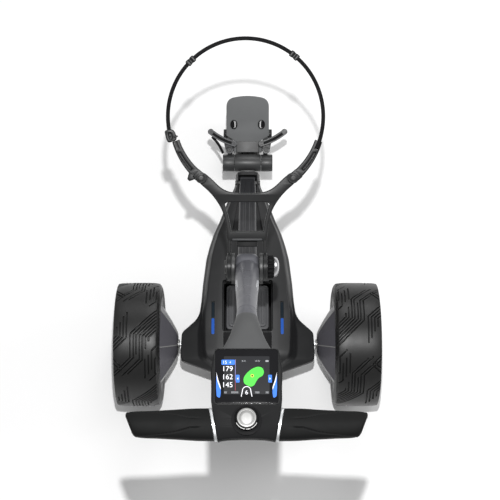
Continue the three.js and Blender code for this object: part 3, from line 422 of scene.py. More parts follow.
def upright(name, profile, x, y, sides, place=ROW, wave=None):
    """A body turned about local Z from [radius, z] points, closed at both ends."""
    return skin(name, [np.stack([x + u, y + v, z], 1) for u, v, z in circles(profile, sides, wave)], place)


def polar(middle, radius, turn):
    return (middle[0] + radius * math.cos(turn), middle[1] + radius * math.sin(turn))


def rect(x0, x1, y0, y1):
    return [(x0, y0), (x1, y0), (x1, y1), (x0, y1)]


def symmetric(half):
    """Half an outline, from one end of the middle line to the other, closed by its mirror image."""
    return [tuple(p) for p in half] + [(-p[0], p[1]) for p in reversed(half)]


def circle(x, y, across, along=None, sides=28):
    """A circle, or an ellipse when the second radius is given."""
    return [(x + across * math.cos(t), y + (along or across) * math.sin(t)) for t in full_turn(sides)]


def refined(name, node, body, paint, width):
    """The CAD node's own shape with its hard edges rounded."""
    def flattened(bm):
        bmesh.ops.dissolve_limit(bm, angle_limit=RAD(1.5), verts=bm.verts, edges=bm.edges)

    holder = linked("work", edited(frame["nodes"][node].data.copy(), merged(2e-6), flattened))
    soften = holder.modifiers.new("edge", "BEVEL")
    soften.limit_method = "ANGLE"
    soften.angle_limit = RAD(32)
    soften.width = width * MM
    soften.segments = 2
    soften.harden_normals = False
    return piece(name, evaluated(holder), body, paint, (node,), 34)


def spread(table, key, at):
    """A column of a table of stations at even steps, with its corners eased."""
    values = np.interp(at, [s[0] for s in table], [s[key] for s in table])
    width = 5
    kernel = np.ones(width) / width
    padded = np.pad(values, width // 2, mode="edge")
    return np.convolve(padded, kernel, mode="valid")


def eased(xs, ys, at):
    """A smooth line through points, without overshoot."""
    xs, ys = np.asarray(xs, float), np.asarray(ys, float)
    slope = np.gradient(ys, xs)
    steps = np.diff(ys) / np.diff(xs)
    for i, step in enumerate(steps):
        for k in (i, i + 1):
            slope[k] = 0 if slope[k] * step <= 0 else math.copysign(min(abs(slope[k]), 3 * abs(step)), step)
    i = np.clip(np.searchsorted(xs, at, "right") - 1, 0, len(xs) - 2)
    h = xs[i + 1] - xs[i]
    t = (at - xs[i]) / h
    return (
        (2 * t**3 - 3 * t**2 + 1) * ys[i] + (t**3 - 2 * t**2 + t) * h * slope[i]
        + (3 * t**2 - 2 * t**3) * ys[i + 1] + (t**3 - t**2) * h * slope[i + 1]
    )


def through(knots, at, places=None):
    """A smooth line through knots of any width, at their places or at whole numbers: one result per column."""
    return [eased(places or range(len(knots)), column, at) for column in zip(*knots)]


def band(points, profile):
    """Rows of a section carried along a flat path. profile is [offset to the left, height] points."""
    points = np.asarray(points, float)
    tangent = np.gradient(points, axis=0)
    tangent /= np.linalg.norm(tangent, axis=1)[:, None]
    left = np.stack([-tangent[:, 1], tangent[:, 0]], 1)
    return [[(*(p + n * off), z) for off, z in profile] for p, n in zip(points, left)]


def arc(radius, start, end, middle, steps):
    turn = np.linspace(start, end, steps)
    return np.stack([middle[0] + radius * np.cos(turn), middle[1] + radius * np.sin(turn)], 1)


def box_mesh(name, x0, x1, y0, y1, z0, z1, place, bevel):
    """A block with rounded edges."""
    outline = rounded(rect(x0, x1, y0, y1), min(bevel * 2, (x1 - x0) / 3, (y1 - y0) / 3))
    return plate(name, [outline], z0, z1, place, bevel)


# ------------------------------------------------------------------ camera, light and floor
def studio():
    scene = bpy.context.scene
    camera = linked("camera", bpy.data.cameras.new("camera"))
    target = Vector((5.5, 202, 213.5))
    far, rise = 3000, RAD(70)
    spot = target + Vector((0, -far * math.cos(rise), far * math.sin(rise)))
    camera.location = ROW @ spot
    camera.rotation_euler = ((ROW @ target) - camera.location).to_track_quat("-Z", "Y").to_euler()
    camera.data.lens = 94.75
    camera.data.sensor_width = 36
    scene.camera = camera

    def area(name, place, aim, size, power):
        lamp = linked(name, bpy.data.lights.new(name, "AREA"))
        lamp.data.shape = "DISK"
        lamp.data.size = size
        lamp.data.energy = power
        lamp.location = place
        lamp.rotation_euler = (Vector(aim) - Vector(place)).to_track_quat("-Z", "Y").to_euler()

    area("key", (0.02, -0.594, 3.0), (0, 0.05, 0.2), 0.045, 58)
    area("front", (0.3, 2.3, 2.1), (0, 0.1, 0.3), 1.6, 24)
    area("side", (2.3, 0.5, 1.5), (0, 0.1, 0.3), 1.2, 18)
    world = scene.world = bpy.data.worlds.new("studio")
    world.use_nodes = True
    values(world.node_tree.nodes["Background"], Color=(1, 1, 1, 1), Strength=0.42)
    floor_mesh = bpy.data.meshes.new("floor")
    wide = 14
    floor_mesh.from_pydata([(x, y, 0) for x, y in rect(-wide, wide, -wide, wide)], [], [(0, 1, 2, 3)])
    floor = linked("floor", floor_mesh)
    made, _, shader = node_tree("studio_floor")
    values(shader, Base_Color=(0.9, 0.9, 0.9, 1), Roughness=0.9)
    floor_mesh.materials.append(made)
    floor.location.z = -0.0005
    scene.view_settings.view_transform = "Standard"


studio()


# ------------------------------------------------------------------ rear wheels
TYRE = {"radius": 140, "inner": 198, "outer": 294}
PITCH = 2 * math.pi * TYRE["radius"] / 5
GROOVE = {"half": 1.55, "wall": 0.85, "depth": 3.0}


def groove_lines():
    """The tread's grooves in one pitch: slanted, then straight round the tyre, then slanted again."""
    half, lines = 50, []
    reach = [(True, 48), (True, 48), (False, 42), (True, 26), (True, 14), (False, 26), (False, 8)]
    for k, (straight, last) in enumerate(reach):
        start, turn_at = 8.0 * k, 9 - 6.6 * k
        knee = (turn_at, start + turn_at + half)
        bend = (turn_at, knee[1] + (52 if straight else last))
        lines.append(((-half, start), knee))
        if bend[1] > knee[1]:
            lines.append((knee, bend))
        if straight:
            end = min(half, last + 2)
            lines.append((bend, (end, bend[1] + end - turn_at)))
    for k, (turn_at, long) in enumerate(((18, 58), (25, 46), (32, 30), (39, 18))):
        start = 100 - 8.5 * k
        knee = (turn_at, start - (half - turn_at))
        lines += [((half, start), knee), (knee, (turn_at, knee[1] - long))]
    # Short grooves that fill the corners between the long ones.
    return lines + [
        ((-half, 84), (-37, 97)), ((-37, 97), (-37, 138)), ((-half, 110), (-44, 116)), ((-44, 116), (-44, 150)),
        ((-30, 108), (-30, 150)), ((-22, 116), (-22, 160)), ((-half, 148), (-30, 168)), ((half, 112), (26, 136)),
        ((half, 122), (30, 142)),
    ]


GROOVES = groove_lines()


def tread_depth(along, across):
    """How deep the tread is cut at a place along and across it, in millimetres."""
    nearest = np.full(along.shape, 1e9)
    for (x0, y0), (x1, y1) in GROOVES:
        for shift in range(-3, 3):
            ay = y0 + shift * PITCH
            dx, dy = x1 - x0, y1 - y0
            t = np.clip(((across - x0) * dx + ((along % PITCH) - ay) * dy) / (dx * dx + dy * dy), 0, 1)
            nearest = np.minimum(nearest, np.hypot(across - x0 - t * dx, (along % PITCH) - ay - t * dy))
    wall = np.clip((GROOVE["half"] - nearest) / GROOVE["wall"], 0, 1)
    return GROOVE["depth"] * wall * wall * (3 - 2 * wall)


def rear_tyre(side):
    r, inner, outer = TYRE["radius"], TYRE["inner"], TYRE["outer"]
    across = np.linspace(inner + 2, outer - 2, 106)
    middle, half = (inner + outer) / 2, (outer - inner) / 2
    crown = [r - 2.6 * (abs(x - middle) / half) ** 5 for x in across]
    wall_in = [(86, 205), (87, 198), (92, 195.5), (100, 194.4), (103.5, 195.2), (104.5, 194), (112, 193),
               (122, 193.4), (130, 194.8), (134, 196.6), (136, 198.6)]
    wall_out = [(136, 293), (133, 293.6), (124, 293.8), (114, 293.4), (104, 293), (103, 292), (100, 292), (99, 293),
                (92, 292.4), (87, 290), (86, 285)]
    profile = wall_in + list(zip(crown, across)) + wall_out
    sides = 1040
    turn = full_turn(sides)
    rows = []
    for radius, x in profile:
        rr, xx = np.full(sides, float(radius)), np.full(sides, float(x))
        if inner + 1.5 < x < outer - 1.5 and radius > 137:
            rr -= tread_depth(turn * r, xx - middle)
        elif 110 < radius < 128:
            # Fine ribs moulded round the side wall.
            xx += 0.35 * np.cos(turn * 90)
        rows.append(np.stack([xx, AXLE.y - rr * np.cos(turn), AXLE.z + rr * np.sin(turn)], 1))
    rows = np.array(rows)
    if side < 0:
        # The grooves lean the same way on both wheels, so the left one is turned and not mirrored.
        rows[..., 0] *= -1
        rows[..., 1] = 2 * AXLE.y - rows[..., 1]
    return skin("tyre", rows, ROW, ring=True)


RIDGE = 70  # angle from the rear, in degrees, of the ridge turned to the user


def hexed(share):
    """A radius wave that turns a cone into a rounded six-sided one, by each row's share."""
    def wave(row, radius, turn):
        faces = np.array([RAD(RIDGE + 30 + 60 * k) for k in range(6)])
        nearness = np.clip(np.cos(turn[:, None] - faces[None, :]), 0, 1) ** 60
        flat = math.cos(RAD(30)) / nearness.sum(1) ** (1 / 60)
        # A softer crease halfway between the ridges.
        off_face = np.abs((turn - RAD(RIDGE)) % RAD(60) - RAD(30))
        crease = 0.045 * np.clip(1 - off_face / RAD(26), 0, 1)
        return radius * (1 + (flat - 1 + crease) * share[row])
    return wave


def rear_rim(side):
    knots = [(20, 157.9), (28, 159.2), (38, 163.2), (58, 173.4), (81, 186.8), (98, 197.6), (105, 201.4)]
    cone = list(zip(*through(knots, np.linspace(0, 6, 37))))
    front = [(6.5, 157.8), (17, 157.8), *cone]
    share = [0, 0.4] + [1.0] * len(cone)
    back = [(104, 203.4), (90, 204), (85.6, 204), (85.6, 287.5), (82, 288.5), (79, 288), (79, 212), (60, 205),
            (24, 190), (19, 250), (17, 258), (6.5, 258)]
    share += [1.0, 0.5] + [0.0] * (len(back) - 2)
    return sided(turned("rim", front + back, AXLE, 480, hexed(share)), side), cone


def rim_ridges(cone):
    """Thin raised lines along the cone's six ridges, in pale metal as painted highlight lines."""
    strips = []
    section = symmetric([(-1.3, -1.2), (-0.9, 0.5)])
    for k in range(6):
        turn = RAD(RIDGE + 60 * k)
        out = np.array([0, -math.cos(turn), math.sin(turn)])
        across = np.array([0, math.sin(turn), math.cos(turn)])
        rows = []
        for radius, x in cone[3:-2]:
            foot = np.array([x, AXLE.y, AXLE.z]) + out * radius
            rows.append([foot + across * w + out * h - np.array([h * 0.6, 0, 0]) for w, h in section])
        strips.append(skin("strip", rows))
    return joined("ridges", *strips)


def rear_wheels():
    for name, side in SIDES:
        body = f"{name}_wheel"
        piece(f"{name}_tyre_tread", rear_tyre(side), body, "tyre", (f"{name}_tyre",), 40)
        rim, cone = rear_rim(side)
        piece(f"{name}_wheel_rim", rim, body, "rim", (f"{name}_rim",), 50)
        # Painted highlight: pale metal lines along the hub's six ridges.
        piece(f"{name}_wheel_ridge_highlights", sided(rim_ridges(cone), side), body, "silver_and_highlight")
        # A pressed collar round the hub's nose, with the axle's flats showing in it.
        collar = turned("collar", [(6.6, 154.6), (10.5, 154.8), (11.8, 156), (12, 158.6), (6.6, 158.6)], AXLE, 48)
        piece(f"{name}_hub_collar", sided(collar, side), body, "zinc")
        refined(f"{name}_cover", f"{name}_wheel_cover", body, "rim", 0.8)
        refined(f"{name}_hub_button", f"{name}_release_button", f"{name}_button", "structure", 0.7)


rear_wheels()


# ------------------------------------------------------------------ chassis
# y, half width, half width of the raised middle, its height, shoulder height, side's lower edge, keel.
STATIONS = [
    (-95, 12, 8, 168, 162, 154, 151), (-84, 45, 36, 178, 168, 151, 138), (-72, 78, 62, 188, 171, 150, 118),
    (-47, 147, 95, 201, 178, 148, 102), (-36, 151, 100, 204, 178, 128, 97), (-24, 151, 101, 205, 178, 104, 96),
    (20, 149, 102, 208, 178, 101, 96), (34, 133, 102, 209, 179, 103, 97), (48, 117, 102, 210, 182, 110, 103),
    (62, 109, 101, 211, 186, 112, 104), (90, 105, 97, 212, 190, 114, 105), (130, 102, 94, 213, 191, 118, 110),
    (190, 95, 86, 213, 191, 142, 137), (220, 88, 79, 212, 191, 156, 152), (250, 79, 70, 211, 191, 166, 163),
    (278, 67, 58, 209, 190, 169, 167), (330, 48, 40, 207, 190, 172, 170), (356, 36, 30, 206, 191, 173, 171),
    (370, 30, 26, 205, 191, 174, 172), (403, 27, 24, 204, 191, 176, 174),
]
SEAM_RISE = 46 / 405
BAY = {"half": 57, "rear": 12, "front": 131, "floor": 120}
INSERT_X = 77.5


def chassis_skin(inset=0.0):
    at = np.arange(-94.5 + inset, 403 - inset, 2.5)
    w, rail, top, wing, low, keel = (spread(STATIONS, k, at) for k in range(1, 7))
    rows = []
    for i, y in enumerate(at):
        ww, rr, tt, ss = w[i] - inset, rail[i] - inset, top[i] - inset, wing[i] - inset
        ll, kk = low[i] + inset, keel[i] + inset
        lip = min(8, (ss - ll) * 0.3)
        half = [
            (0, tt + 0.4), (rr * 0.66, tt), (rr * 0.94, tt - 3), (rr, tt - min(14, (tt - ss) * 0.65)),
            (rr + (ww - rr) * 0.2, ss + 1), (ww, ss - lip), (ww, ll + lip), (ww - min(8, ww * 0.3), ll),
            (ww * 0.5, kk), (0, kk - 0.2),
        ]
        loop = half + [(-x, z) for x, z in reversed(half[1:-1])]
        rows.append([(x, y, z) for x, z in rounded(loop, 3.2, 4)])
    return skin("chassis", rows)


def side_tool(outline, half):
    """A side-view outline [y, z] made solid across the middle."""
    return skin("tool", [[(x, y, z) for y, z in outline] for x in (-half, half)])


def plan_tool(outline, low, high):
    """A plan outline [x, y] made solid between two heights, with sharp edges."""
    return skin("tool", [[(x, y, z) for x, y in outline] for z in (low, high)])


def chassis():
    def beyond(lift, above):
        """Everything over or under the seam between the two shells, for cutting away."""
        wide, far = 500, 400 if above else -100
        edge = [(y, AXLE.z + SEAM_RISE * y + lift) for y in (-wide, wide)]
        return side_tool([*edge, (wide, far), (-wide, far)], wide)

    def slot(side):
        """Room for the blue inserts in one rail, in layout millimetres."""
        outline = rounded(rect(-4.5, 4.5, 3.1, 80.9), 3.4)
        return plan_tool([(side * INSERT_X + x, y) for x, y in outline], 206.2, 230)

    channel = side_tool([(392.5, 245), (392.5, 188), (384, 179), (366, 179), (170, 211), (170, 245)], 21.5)
    bay = plan_tool(rounded(rect(-BAY["half"], BAY["half"], BAY["rear"], BAY["front"]), 7), BAY["floor"], 260)
    bore = skin("bore", lathe_rows([(7, -170), (7, 170)], 24, AXLE))
    trough_line = rounded(symmetric([(49, 128), (49, 168), (40, 222), (27, 300), (21.2, 334)]), 5)
    trough = plan_tool(trough_line, 200.5, 260)
    # Behind the bay the middle stays low between the rails and runs out at the tail.
    tail = side_tool([(14, 260), (14, 199), (-66, 183), (-100, 176), (-100, 260)], 55)
    cutters = [channel, bay, bore, trough, tail]
    body = chassis_skin()
    top = boolean(body.copy(), [*cutters, slot(-1), slot(1), beyond(0.45, False)])
    piece("chassis_top", top, "chassis", "shell", ("chassis_upper_shell",), 22)
    bottom = boolean(body, [*cutters, beyond(-0.45, True)])
    piece("chassis_bottom", bottom, "chassis", "lower", ("chassis_lower_shell",), 22)
    liner = plan_tool([(x * 0.99, 131 + (y - 131) * 0.99) for x, y in trough_line], 199.4, 200.9)
    piece("trough_liner", boolean(liner, [channel.copy(), bay.copy()]), "chassis", "shell")
    # Painted shade: a near-black sheet on the floor of the tail trough, where it lies in shade.
    tail_painted_shade = side_tool([(11.6, 199.1), (11.6, 197), (-60, 182.8), (-60, 184.9)], 54.4)
    piece("tail_painted_shade", tail_painted_shade, "chassis", "deep")
    # A near-black skin just inside closes the view through the seam; its near-black is painted shade for the inside
    # of the seam.
    core = boolean(chassis_skin(1.6), [*cutters, beyond(1.4, True), beyond(-1.4, False)])
    piece("chassis_seam_shade", core, "chassis", "deep")
    for name, side in SIDES:
        # Each rail's insert is drawn in two parts: the rear part bright blue, the front part near-black blue as
        # painted shade, darker towards the front.
        for part, paint, y0, y1, hides in (
            ("rear", "accent", 4.6, 41.6, (f"accent_insert_{name}",)), ("front", "shaded_blue", 42.2, 79.4, ()),
        ):
            outline = [(side * INSERT_X + x, y) for x, y in rounded(rect(-3.3, 3.3, y0, y1), 3)]
            mesh = plate("insert", [outline], 203.4, 207.4, ROW, 0.5)
            piece(f"accent_{part}_{name}", mesh, "chassis", paint, hides)


chassis()


def battery():
    outline = rounded(rect(-48, 48, 20, 124), 9, 6)
    body = plate("case", [outline], 125, 184, ROW, 2.0)
    piece("battery_body", body, "battery", "battery", ("battery_case",))
    rim = plate("lid", [outline], 184.3, 193.4, ROW, 2.0)
    crown = plate("crown", [rounded(rect(-42, 42, 26, 118), 8, 6)], 191, 196.6, ROW, 1.4)
    ribs = [box_mesh("rib", s * x - half, s * x + half, start, 144 - start, 195.6, high, ROW, bevel)
            for x, half, start, high, bevel in ((34, 3, 32, 198, 0.9), (26.5, 1.2, 36, 197.6, 0.6))
            for s in (-1, 1)]
    piece("battery_top", joined("top", rim, crown, *ribs), "battery", "battery", ("battery_lid",))


battery()


# ------------------------------------------------------------------ front carrier
def front_wheel():
    profile = [(62, -23), (63, -27), (68, -28.6), (76, -29), (81, -28.4), (84.5, -26), (87, -23)]
    crown = np.linspace(-21, 21, 64)
    wall = [(r, -x) for r, x in reversed(profile)]

    def radius(x):
        cut = max(0.0, max(1 - abs(x - groove) / 1.7 for groove in (-12, 0, 12)))
        return 90 - 4.5 * (abs(x) / 22) ** 2.6 - 2.4 * min(1, cut * 1.8)

    points = profile + [(radius(x), x) for x in crown] + wall
    piece("front_tyre_tread", turned("tyre", points, FRONT_AXLE, 160), "front_wheel", "tyre",
          ("front_tyre",), 40)
    refined("front_wheel_rim", "front_rim", "front_wheel", "rim", 0.7)


SOCKET = Vector((32.5, 41))
LOWER_SCREW = Vector((43, -18))


def curve(a, b, c, count=10):
    """A bend through two ends, drawn towards the point between them."""
    a, b, c = (np.array(p) for p in (a, b, c))
    return [tuple((1 - t) ** 2 * a + 2 * t * (1 - t) * b + t * t * c) for t in np.linspace(0, 1, count)]


def carrier():
    refined("front_fork_body", "front_fork", "front_carrier", "satin", 1.2)
    refined("front_axle_caps", "front_axle", "front_carrier", "structure", 0.8)
    refined("front_barrel", "front_hinge_barrel", "chassis", "satin", 1.2)

    half, long = 50, 108
    outline = [(26, -24), (26, 0), (half, 15), (half, long - 26)]
    outline += curve((half, long - 26), (half, long - 6), (half - 20, long - 3))[1:]
    across = curve((half - 20, long - 3), (0, long + 3), (-half + 20, long - 3), 16)[1:-1]
    outline = [(-26, -24), *outline, *across, *[(-x, y) for x, y in outline[:1:-1]], (-26, 0)]
    holes = [circle(s * SOCKET.x, SOCKET.y, 6, 8.5, 40) for s in (-1, 1)]
    slab = plate("slab", [outline, *holes], -6, 0, BASE, 1.1)
    ribs = [box_mesh("rib", x - 2, x + 2, 4, 92, -16, -4, BASE, 0.8) for x in (-16, 0, 16)]
    foot = box_mesh("foot", -26.4, 26.4, -24.4, 1.6, -5, 0.9, BASE, 1.0)
    piece("bag_plate_foot", foot, "front_carrier", "satin")
    piece("bag_plate", joined("bag_plate", slab, *ribs), "front_carrier", "plate", ("bag_base_plate",), 30)
    for name, side in SIDES:
        rings = [circle(side * SOCKET.x, SOCKET.y, grow, grow + 2.5, 40) for grow in (8.4, 5.9)]
        piece(f"socket_rim_{name}", plate("rim", rings, -19, 1.1, BASE, 0.5), "front_carrier", "deep")
        x0, x1 = sorted((side * 31.4, side * 39.4))
        stop = box_mesh("stop", x0, x1, 33.4, 48.6, -18.5, -13, BASE, 0.8)
        piece(f"socket_stop_{name}", stop, "front_carrier", "deep")
        lower_arm(name, side)
        ear = plate("ear", [rounded([(26.6, -24), (33, -25), (34, -6), (27, -2)], 2.4)], -4, 6, BASE, 1.4)
        piece(f"plate_ear_{name}", sided(ear, side), "front_carrier", "plate")
    elastic_strap()


def lower_arm(name, side):
    """A curved channel bar with an oval pad at each end, a web and a screw boss."""
    body = f"{name}_lower_arm"
    path = np.array(curve((29, -4), (62, 4), (88, 26), 40))
    section = [(6.4, 14.6), (6.4, 33.2), (5.6, 34), (3.4, 34), (2.8, 33.4), (2.8, 30.2), (-2.8, 30.2), (-2.8, 33.4),
               (-3.4, 34), (-5.6, 34), (-6.4, 33.2), (-6.4, 14.6), (-5.8, 14), (5.8, 14)]
    pad = [(0.2, 14), (6, 14), (6.8, 14.8), (6.8, 31.5), (5.8, 32.6), (0.2, 32.8)]
    eye = [(3.1, 14), (8.2, 14), (9, 15), (9, 21), (8.2, 22), (5.2, 22), (4.9, 20.6), (3.1, 20.6)]
    mesh = joined(
        "arm", skin("bar", band(path, section), BASE),
        *[upright("pad", pad, x, y, 40, BASE) for x, y in ((86, 24.4), (31.5, -3.4))],
        plate("web", [rounded([(34, -18), (52, -18), (56, 3), (36, -2)], 4)], 14, 22, BASE, 1.0),
        upright("boss", eye, LOWER_SCREW.x, LOWER_SCREW.y, 48, BASE),
    )
    # The left arm gets the paler grey as painted light and the right one the darker satin; they are the same part
    # mirrored.
    paint = "satin" if side > 0 else "painted_light_grey"
    piece(f"bag_lower_arm_{name}", sided(mesh, side), body, paint, (f"lower_arm_{name}",))
    # Painted shade: a near-black strip on the floor of the bar's groove.
    channel = skin("channel", band(path[2:-2], [(2.7, 30), (2.7, 31.2), (-2.7, 31.2), (-2.7, 30)]), BASE)
    piece(f"lower_arm_groove_shade_{name}", sided(channel, side), body, "deep")
    head = [(0.2, 13.8), (2.8, 13.8), (2.8, 20.9), (4.6, 21), (4.6, 22.6), (4.1, 23), (1.6, 23), (1.6, 21.8),
            (0.2, 21.8)]
    screw = upright("screw", head, side * LOWER_SCREW.x, LOWER_SCREW.y, 32, BASE)
    piece(f"lower_arm_screw_{name}", screw, "front_carrier", "burnished")


def elastic_strap():
    """From the left lower arm back to the hinge, with two sewn lines."""
    knots = [(-83, 13), (-76, 5), (-69.5, -3), (-64.5, -11), (-60.5, -19), (-57.6, -26)]
    line = np.stack(through(knots, np.linspace(0, len(knots) - 1, 50)), 1)
    section = []
    for off, z in rounded([(3, 18), (3, 29), (-3, 29), (-3, 18)], 1.6, 5):
        groove = 0.5 * max(0, 1 - abs(abs(off) - 1.3) / 0.5) if z > 28.4 else 0
        section.append((off, z - groove))
    made = strap("lower_elastic", skin("strap", band(line, section), BASE), "lower_strap")
    ends = [BASE @ Vector(p) for p in ((-59, -22, 24), (-76, 5, 24))]
    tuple(ends[0])
    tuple(ends[1])
    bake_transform(made)


front_wheel()
carrier()


# ------------------------------------------------------------------ frame tube and hinge
def spine():
    end, corner = SPINE_LONG - 38, 7
    rows = []
    for y in np.concatenate([np.linspace(0, 70, 20), np.linspace(75, end, 60)]):
        half, thick = np.interp(y, [0, 30, 70], [17, 18, 19]), np.interp(y, [0, 30, 70], [13, 14, 15])
        loop = rounded([(half, thick), (half, -thick), (-half, -thick), (-half, thick)], 6, corner - 1)
        corners = [[(x, y, z) for x, z in loop[k * corner:(k + 1) * corner]] for k in range(4)]
        # Two shallow flutes run along the tube's front and back faces, and fade out at its ends.
        fade = np.clip(min(y - 24, end - 4 - y) / 18, 0, 1)
        top = [(x, y, thick - 1.5 * fade * max(0, 1 - (abs(abs(x) - 7) / 3.2) ** 2))
               for x in np.linspace(half - 6, -half + 6, 25)]
        under = [(-x, y, -z) for x, _, z in top]
        rows.append(top[-2:0:-1] + corners[0] + corners[1] + under[-2:0:-1] + corners[2] + corners[3])
    tube = skin("tube", rows, SPINE)
    foot = turned("foot", [(5.4, -17), (13.4, -17), (14.5, -16), (14.5, 16), (13.4, 17), (5.4, 17)], SPINE_FOOT)
    piece("frame_tube", joined("frame_tube", tube, foot), "spine", "spine", ("spine_tube",), 30)
    refined("clevis", "hinge_clevis", "spine", "satin", 1.4)
    refined("clevis_bolt", "hinge_bolt", "spine", "burnished", 0.7)
    # The knob's rows, with how deep the lobes are at each.
    lobes = 16
    profile = [(6.4, 39), (20, 39), (21.4, 40.4), (21.6, 49.6), (20.4, 51.4), (19.4, 52), (18.8, 54), (16.5, 57.4),
               (12, 59.8), (7.4, 60.9), (6.4, 60.9)]
    depths = [0, 0.9, 1.1, 1.1, 0.7] + [0] * 6

    def wave(row, radius, turn):
        return radius + depths[row] * np.cos(lobes * turn)

    knob = turned("knob", profile, HINGE, 192, wave)
    piece("clamp_knob", knob, "knob", "deep", ("hinge_knob",))
    dome = [(7, 59), (10, 58.6), (16, 55.2), (18.4, 52.2), (19.3, 52.2), (19.6, 53.4), (17, 58), (12.4, 60.6),
            (7, 61.8)]
    piece("clamp_knob_dome", turned("dome", dome, HINGE, 96), "knob", "chrome")
    cap = [(0.3, 59.8), (6.1, 59.9), (6.1, 61), (4, 61.6), (0.3, 61.8)]
    piece("clamp_knob_cap", turned("cap", cap, HINGE, 48), "knob", "burnished")


spine()


# ------------------------------------------------------------------ bag support and its hoop
RING = {"x": -3, "centre": 290, "inner": 145.8, "outer": 153, "back": -13, "front": 0}
ARM_SCREW = Vector((89, 173))
SCREW_TURN = math.atan2(ARM_SCREW.y - RING["centre"], ARM_SCREW.x)
ARM_END = math.atan2(-46, 138)


def bezier(a, b, c, d, steps=14):
    a, b, c, d = (np.array(p, float) for p in (a, b, c, d))
    return [(1 - t) ** 3 * a + 3 * t * (1 - t) ** 2 * b + 3 * t * t * (1 - t) * c + t**3 * d
            for t in np.linspace(0, 1, steps)]


def bends(*knots):
    """A line through runs of curves: each knot is a place, or two handles and the place they lead to."""
    line = [knots[0]]
    for knot in knots[1:]:
        if isinstance(knot[0], tuple):
            line += bezier(line[-1], *knot[:3], *knot[3:])[1:]
        else:
            line.append(knot)
    return line


def support():
    outer = symmetric(bends(
        (38.5, 50), (40, 72), ((42, 90), (45, 106), (55, 122)), ((62, 133), (70, 144), (84, 155.5)),
        (90, 161), (97.5, 166), (99.6, 173), (97, 180), (89, 183.4), (81, 180.6), (72, 173),
        ((60, 163), (54, 152), (36, 146)), ((24, 143), (12, 143), (4, 143)),
    ))
    window = symmetric(bends((31, 69), ((34, 90), (38, 105), (43, 120)), ((43, 124), (40, 126), (32, 126), 8),
                             (4, 126)))
    blade = plate("blade", [outer, window], RING["back"] - 3, 0, SUPPORT, 1.5)
    seat = upright("seat", [(0.2, -7.7), (12.4, -7.7), (12.4, 6), (0.2, 6)], *ARM_SCREW, 40, SUPPORT)
    legs = []
    for side in (-1, 1):
        a, b = sorted((side * 31, side * 38.5))
        legs.append(box_mesh("leg", a, b, -4, 54, -16, 0, SUPPORT, 1.6))
        legs.append(turned("disc", [(6.4, a), (27, a), (28, a + 1), (28, b - 1), (27, b), (6.4, b)], HINGE, 80))
        # A raised cap ring on the outside of each leg's disc.
        ring = [(13, -0.5), (21, -0.5), (21, 1.2), (19.5, 1.9), (14.5, 1.9), (13, 1.2)]
        legs.append(turned("ring", [(r, side * 38.5 + side * out) for r, out in ring], HINGE, 64))
    tongue = box_mesh("tongue", -20, 20, 38, 54, -20.6, -12, SUPPORT, 1.2)
    yoke = joined("bag_yoke", boolean(blade, [seat, mirrored(seat)]), *legs, tongue)
    piece("bag_yoke", yoke, "upper_support", "structure", ("bag_support",), 30)
    # Painted highlight: a pale rib along the yoke's crossbar, standing in for the light on its upper edge.
    ridge = box_mesh("ridge", -29, 29, 51.6, 55.4, -2, 1.6, SUPPORT, 0.8)
    piece("bag_yoke_rib", ridge, "upper_support", "painted_light_grey")


def sector(middle, outer, inner, start, end, steps):
    """A ring's sector as an outline: out along one radius and back along the other."""
    there = np.linspace(start, end, steps)
    return [polar(middle, r, a) for r, turns in ((outer, there), (inner, there[::-1])) for a in turns]


def arm_mesh(side):
    """The upper arm: a curved bar with a slot and a thin web in it, a necked eye at the screw and a notched tip."""
    mid = (0, RING["centre"])
    start, end = SCREW_TURN + 0.075, ARM_END
    count = 46
    widths = np.linspace(156, 152, count)
    outer = [polar(mid, radius, a) for radius, a in zip(widths, np.linspace(start, end, count))]
    inner = [tuple(p) for p in arc(138, end, start, mid, count)]
    slit = (start + 0.09, end - 0.16, 30)
    bar = plate("bar", [outer + inner, rounded(sector(mid, 149.6, 145.4, *slit), 1.6)], -16, 2, SUPPORT, 1.5)
    back = plate("web", [sector(mid, 151, 144, *slit)], -13, -8, SUPPORT, 0.6)
    neck = plate("neck", [sector(mid, 157, 137, SCREW_TURN - 0.01, SCREW_TURN + 0.1, 8)], -7.6, 2, SUPPORT, 1.2)
    rim = [(3.4, -7.7), (9.8, -7.7), (10.5, -6.8), (10.5, 1.2), (9.7, 2), (8.4, 2), (7.6, 1.1), (6.4, 1.1),
           (5.9, 1.8), (3.4, 1.8)]
    eye = upright("eye", rim, *ARM_SCREW, 56, SUPPORT)
    tip = sector((RING["x"], RING["centre"]), 153.4, 145.4, end - 0.11, end + 0.1, 12)
    parts = [boolean(bar, [plate("notch", [tip], -13.5, 6, SUPPORT, 0.1)]), back, neck, eye]
    if side < 0:
        tab = rounded([(99, 171), (111, 166.5), (115.5, 170.5), (111.6, 185), (101, 179)], 1.6)
        parts.append(plate("tab", [tab], -5.6, 2, SUPPORT, 1.2))
    return sided(joined("arm", *parts), side)


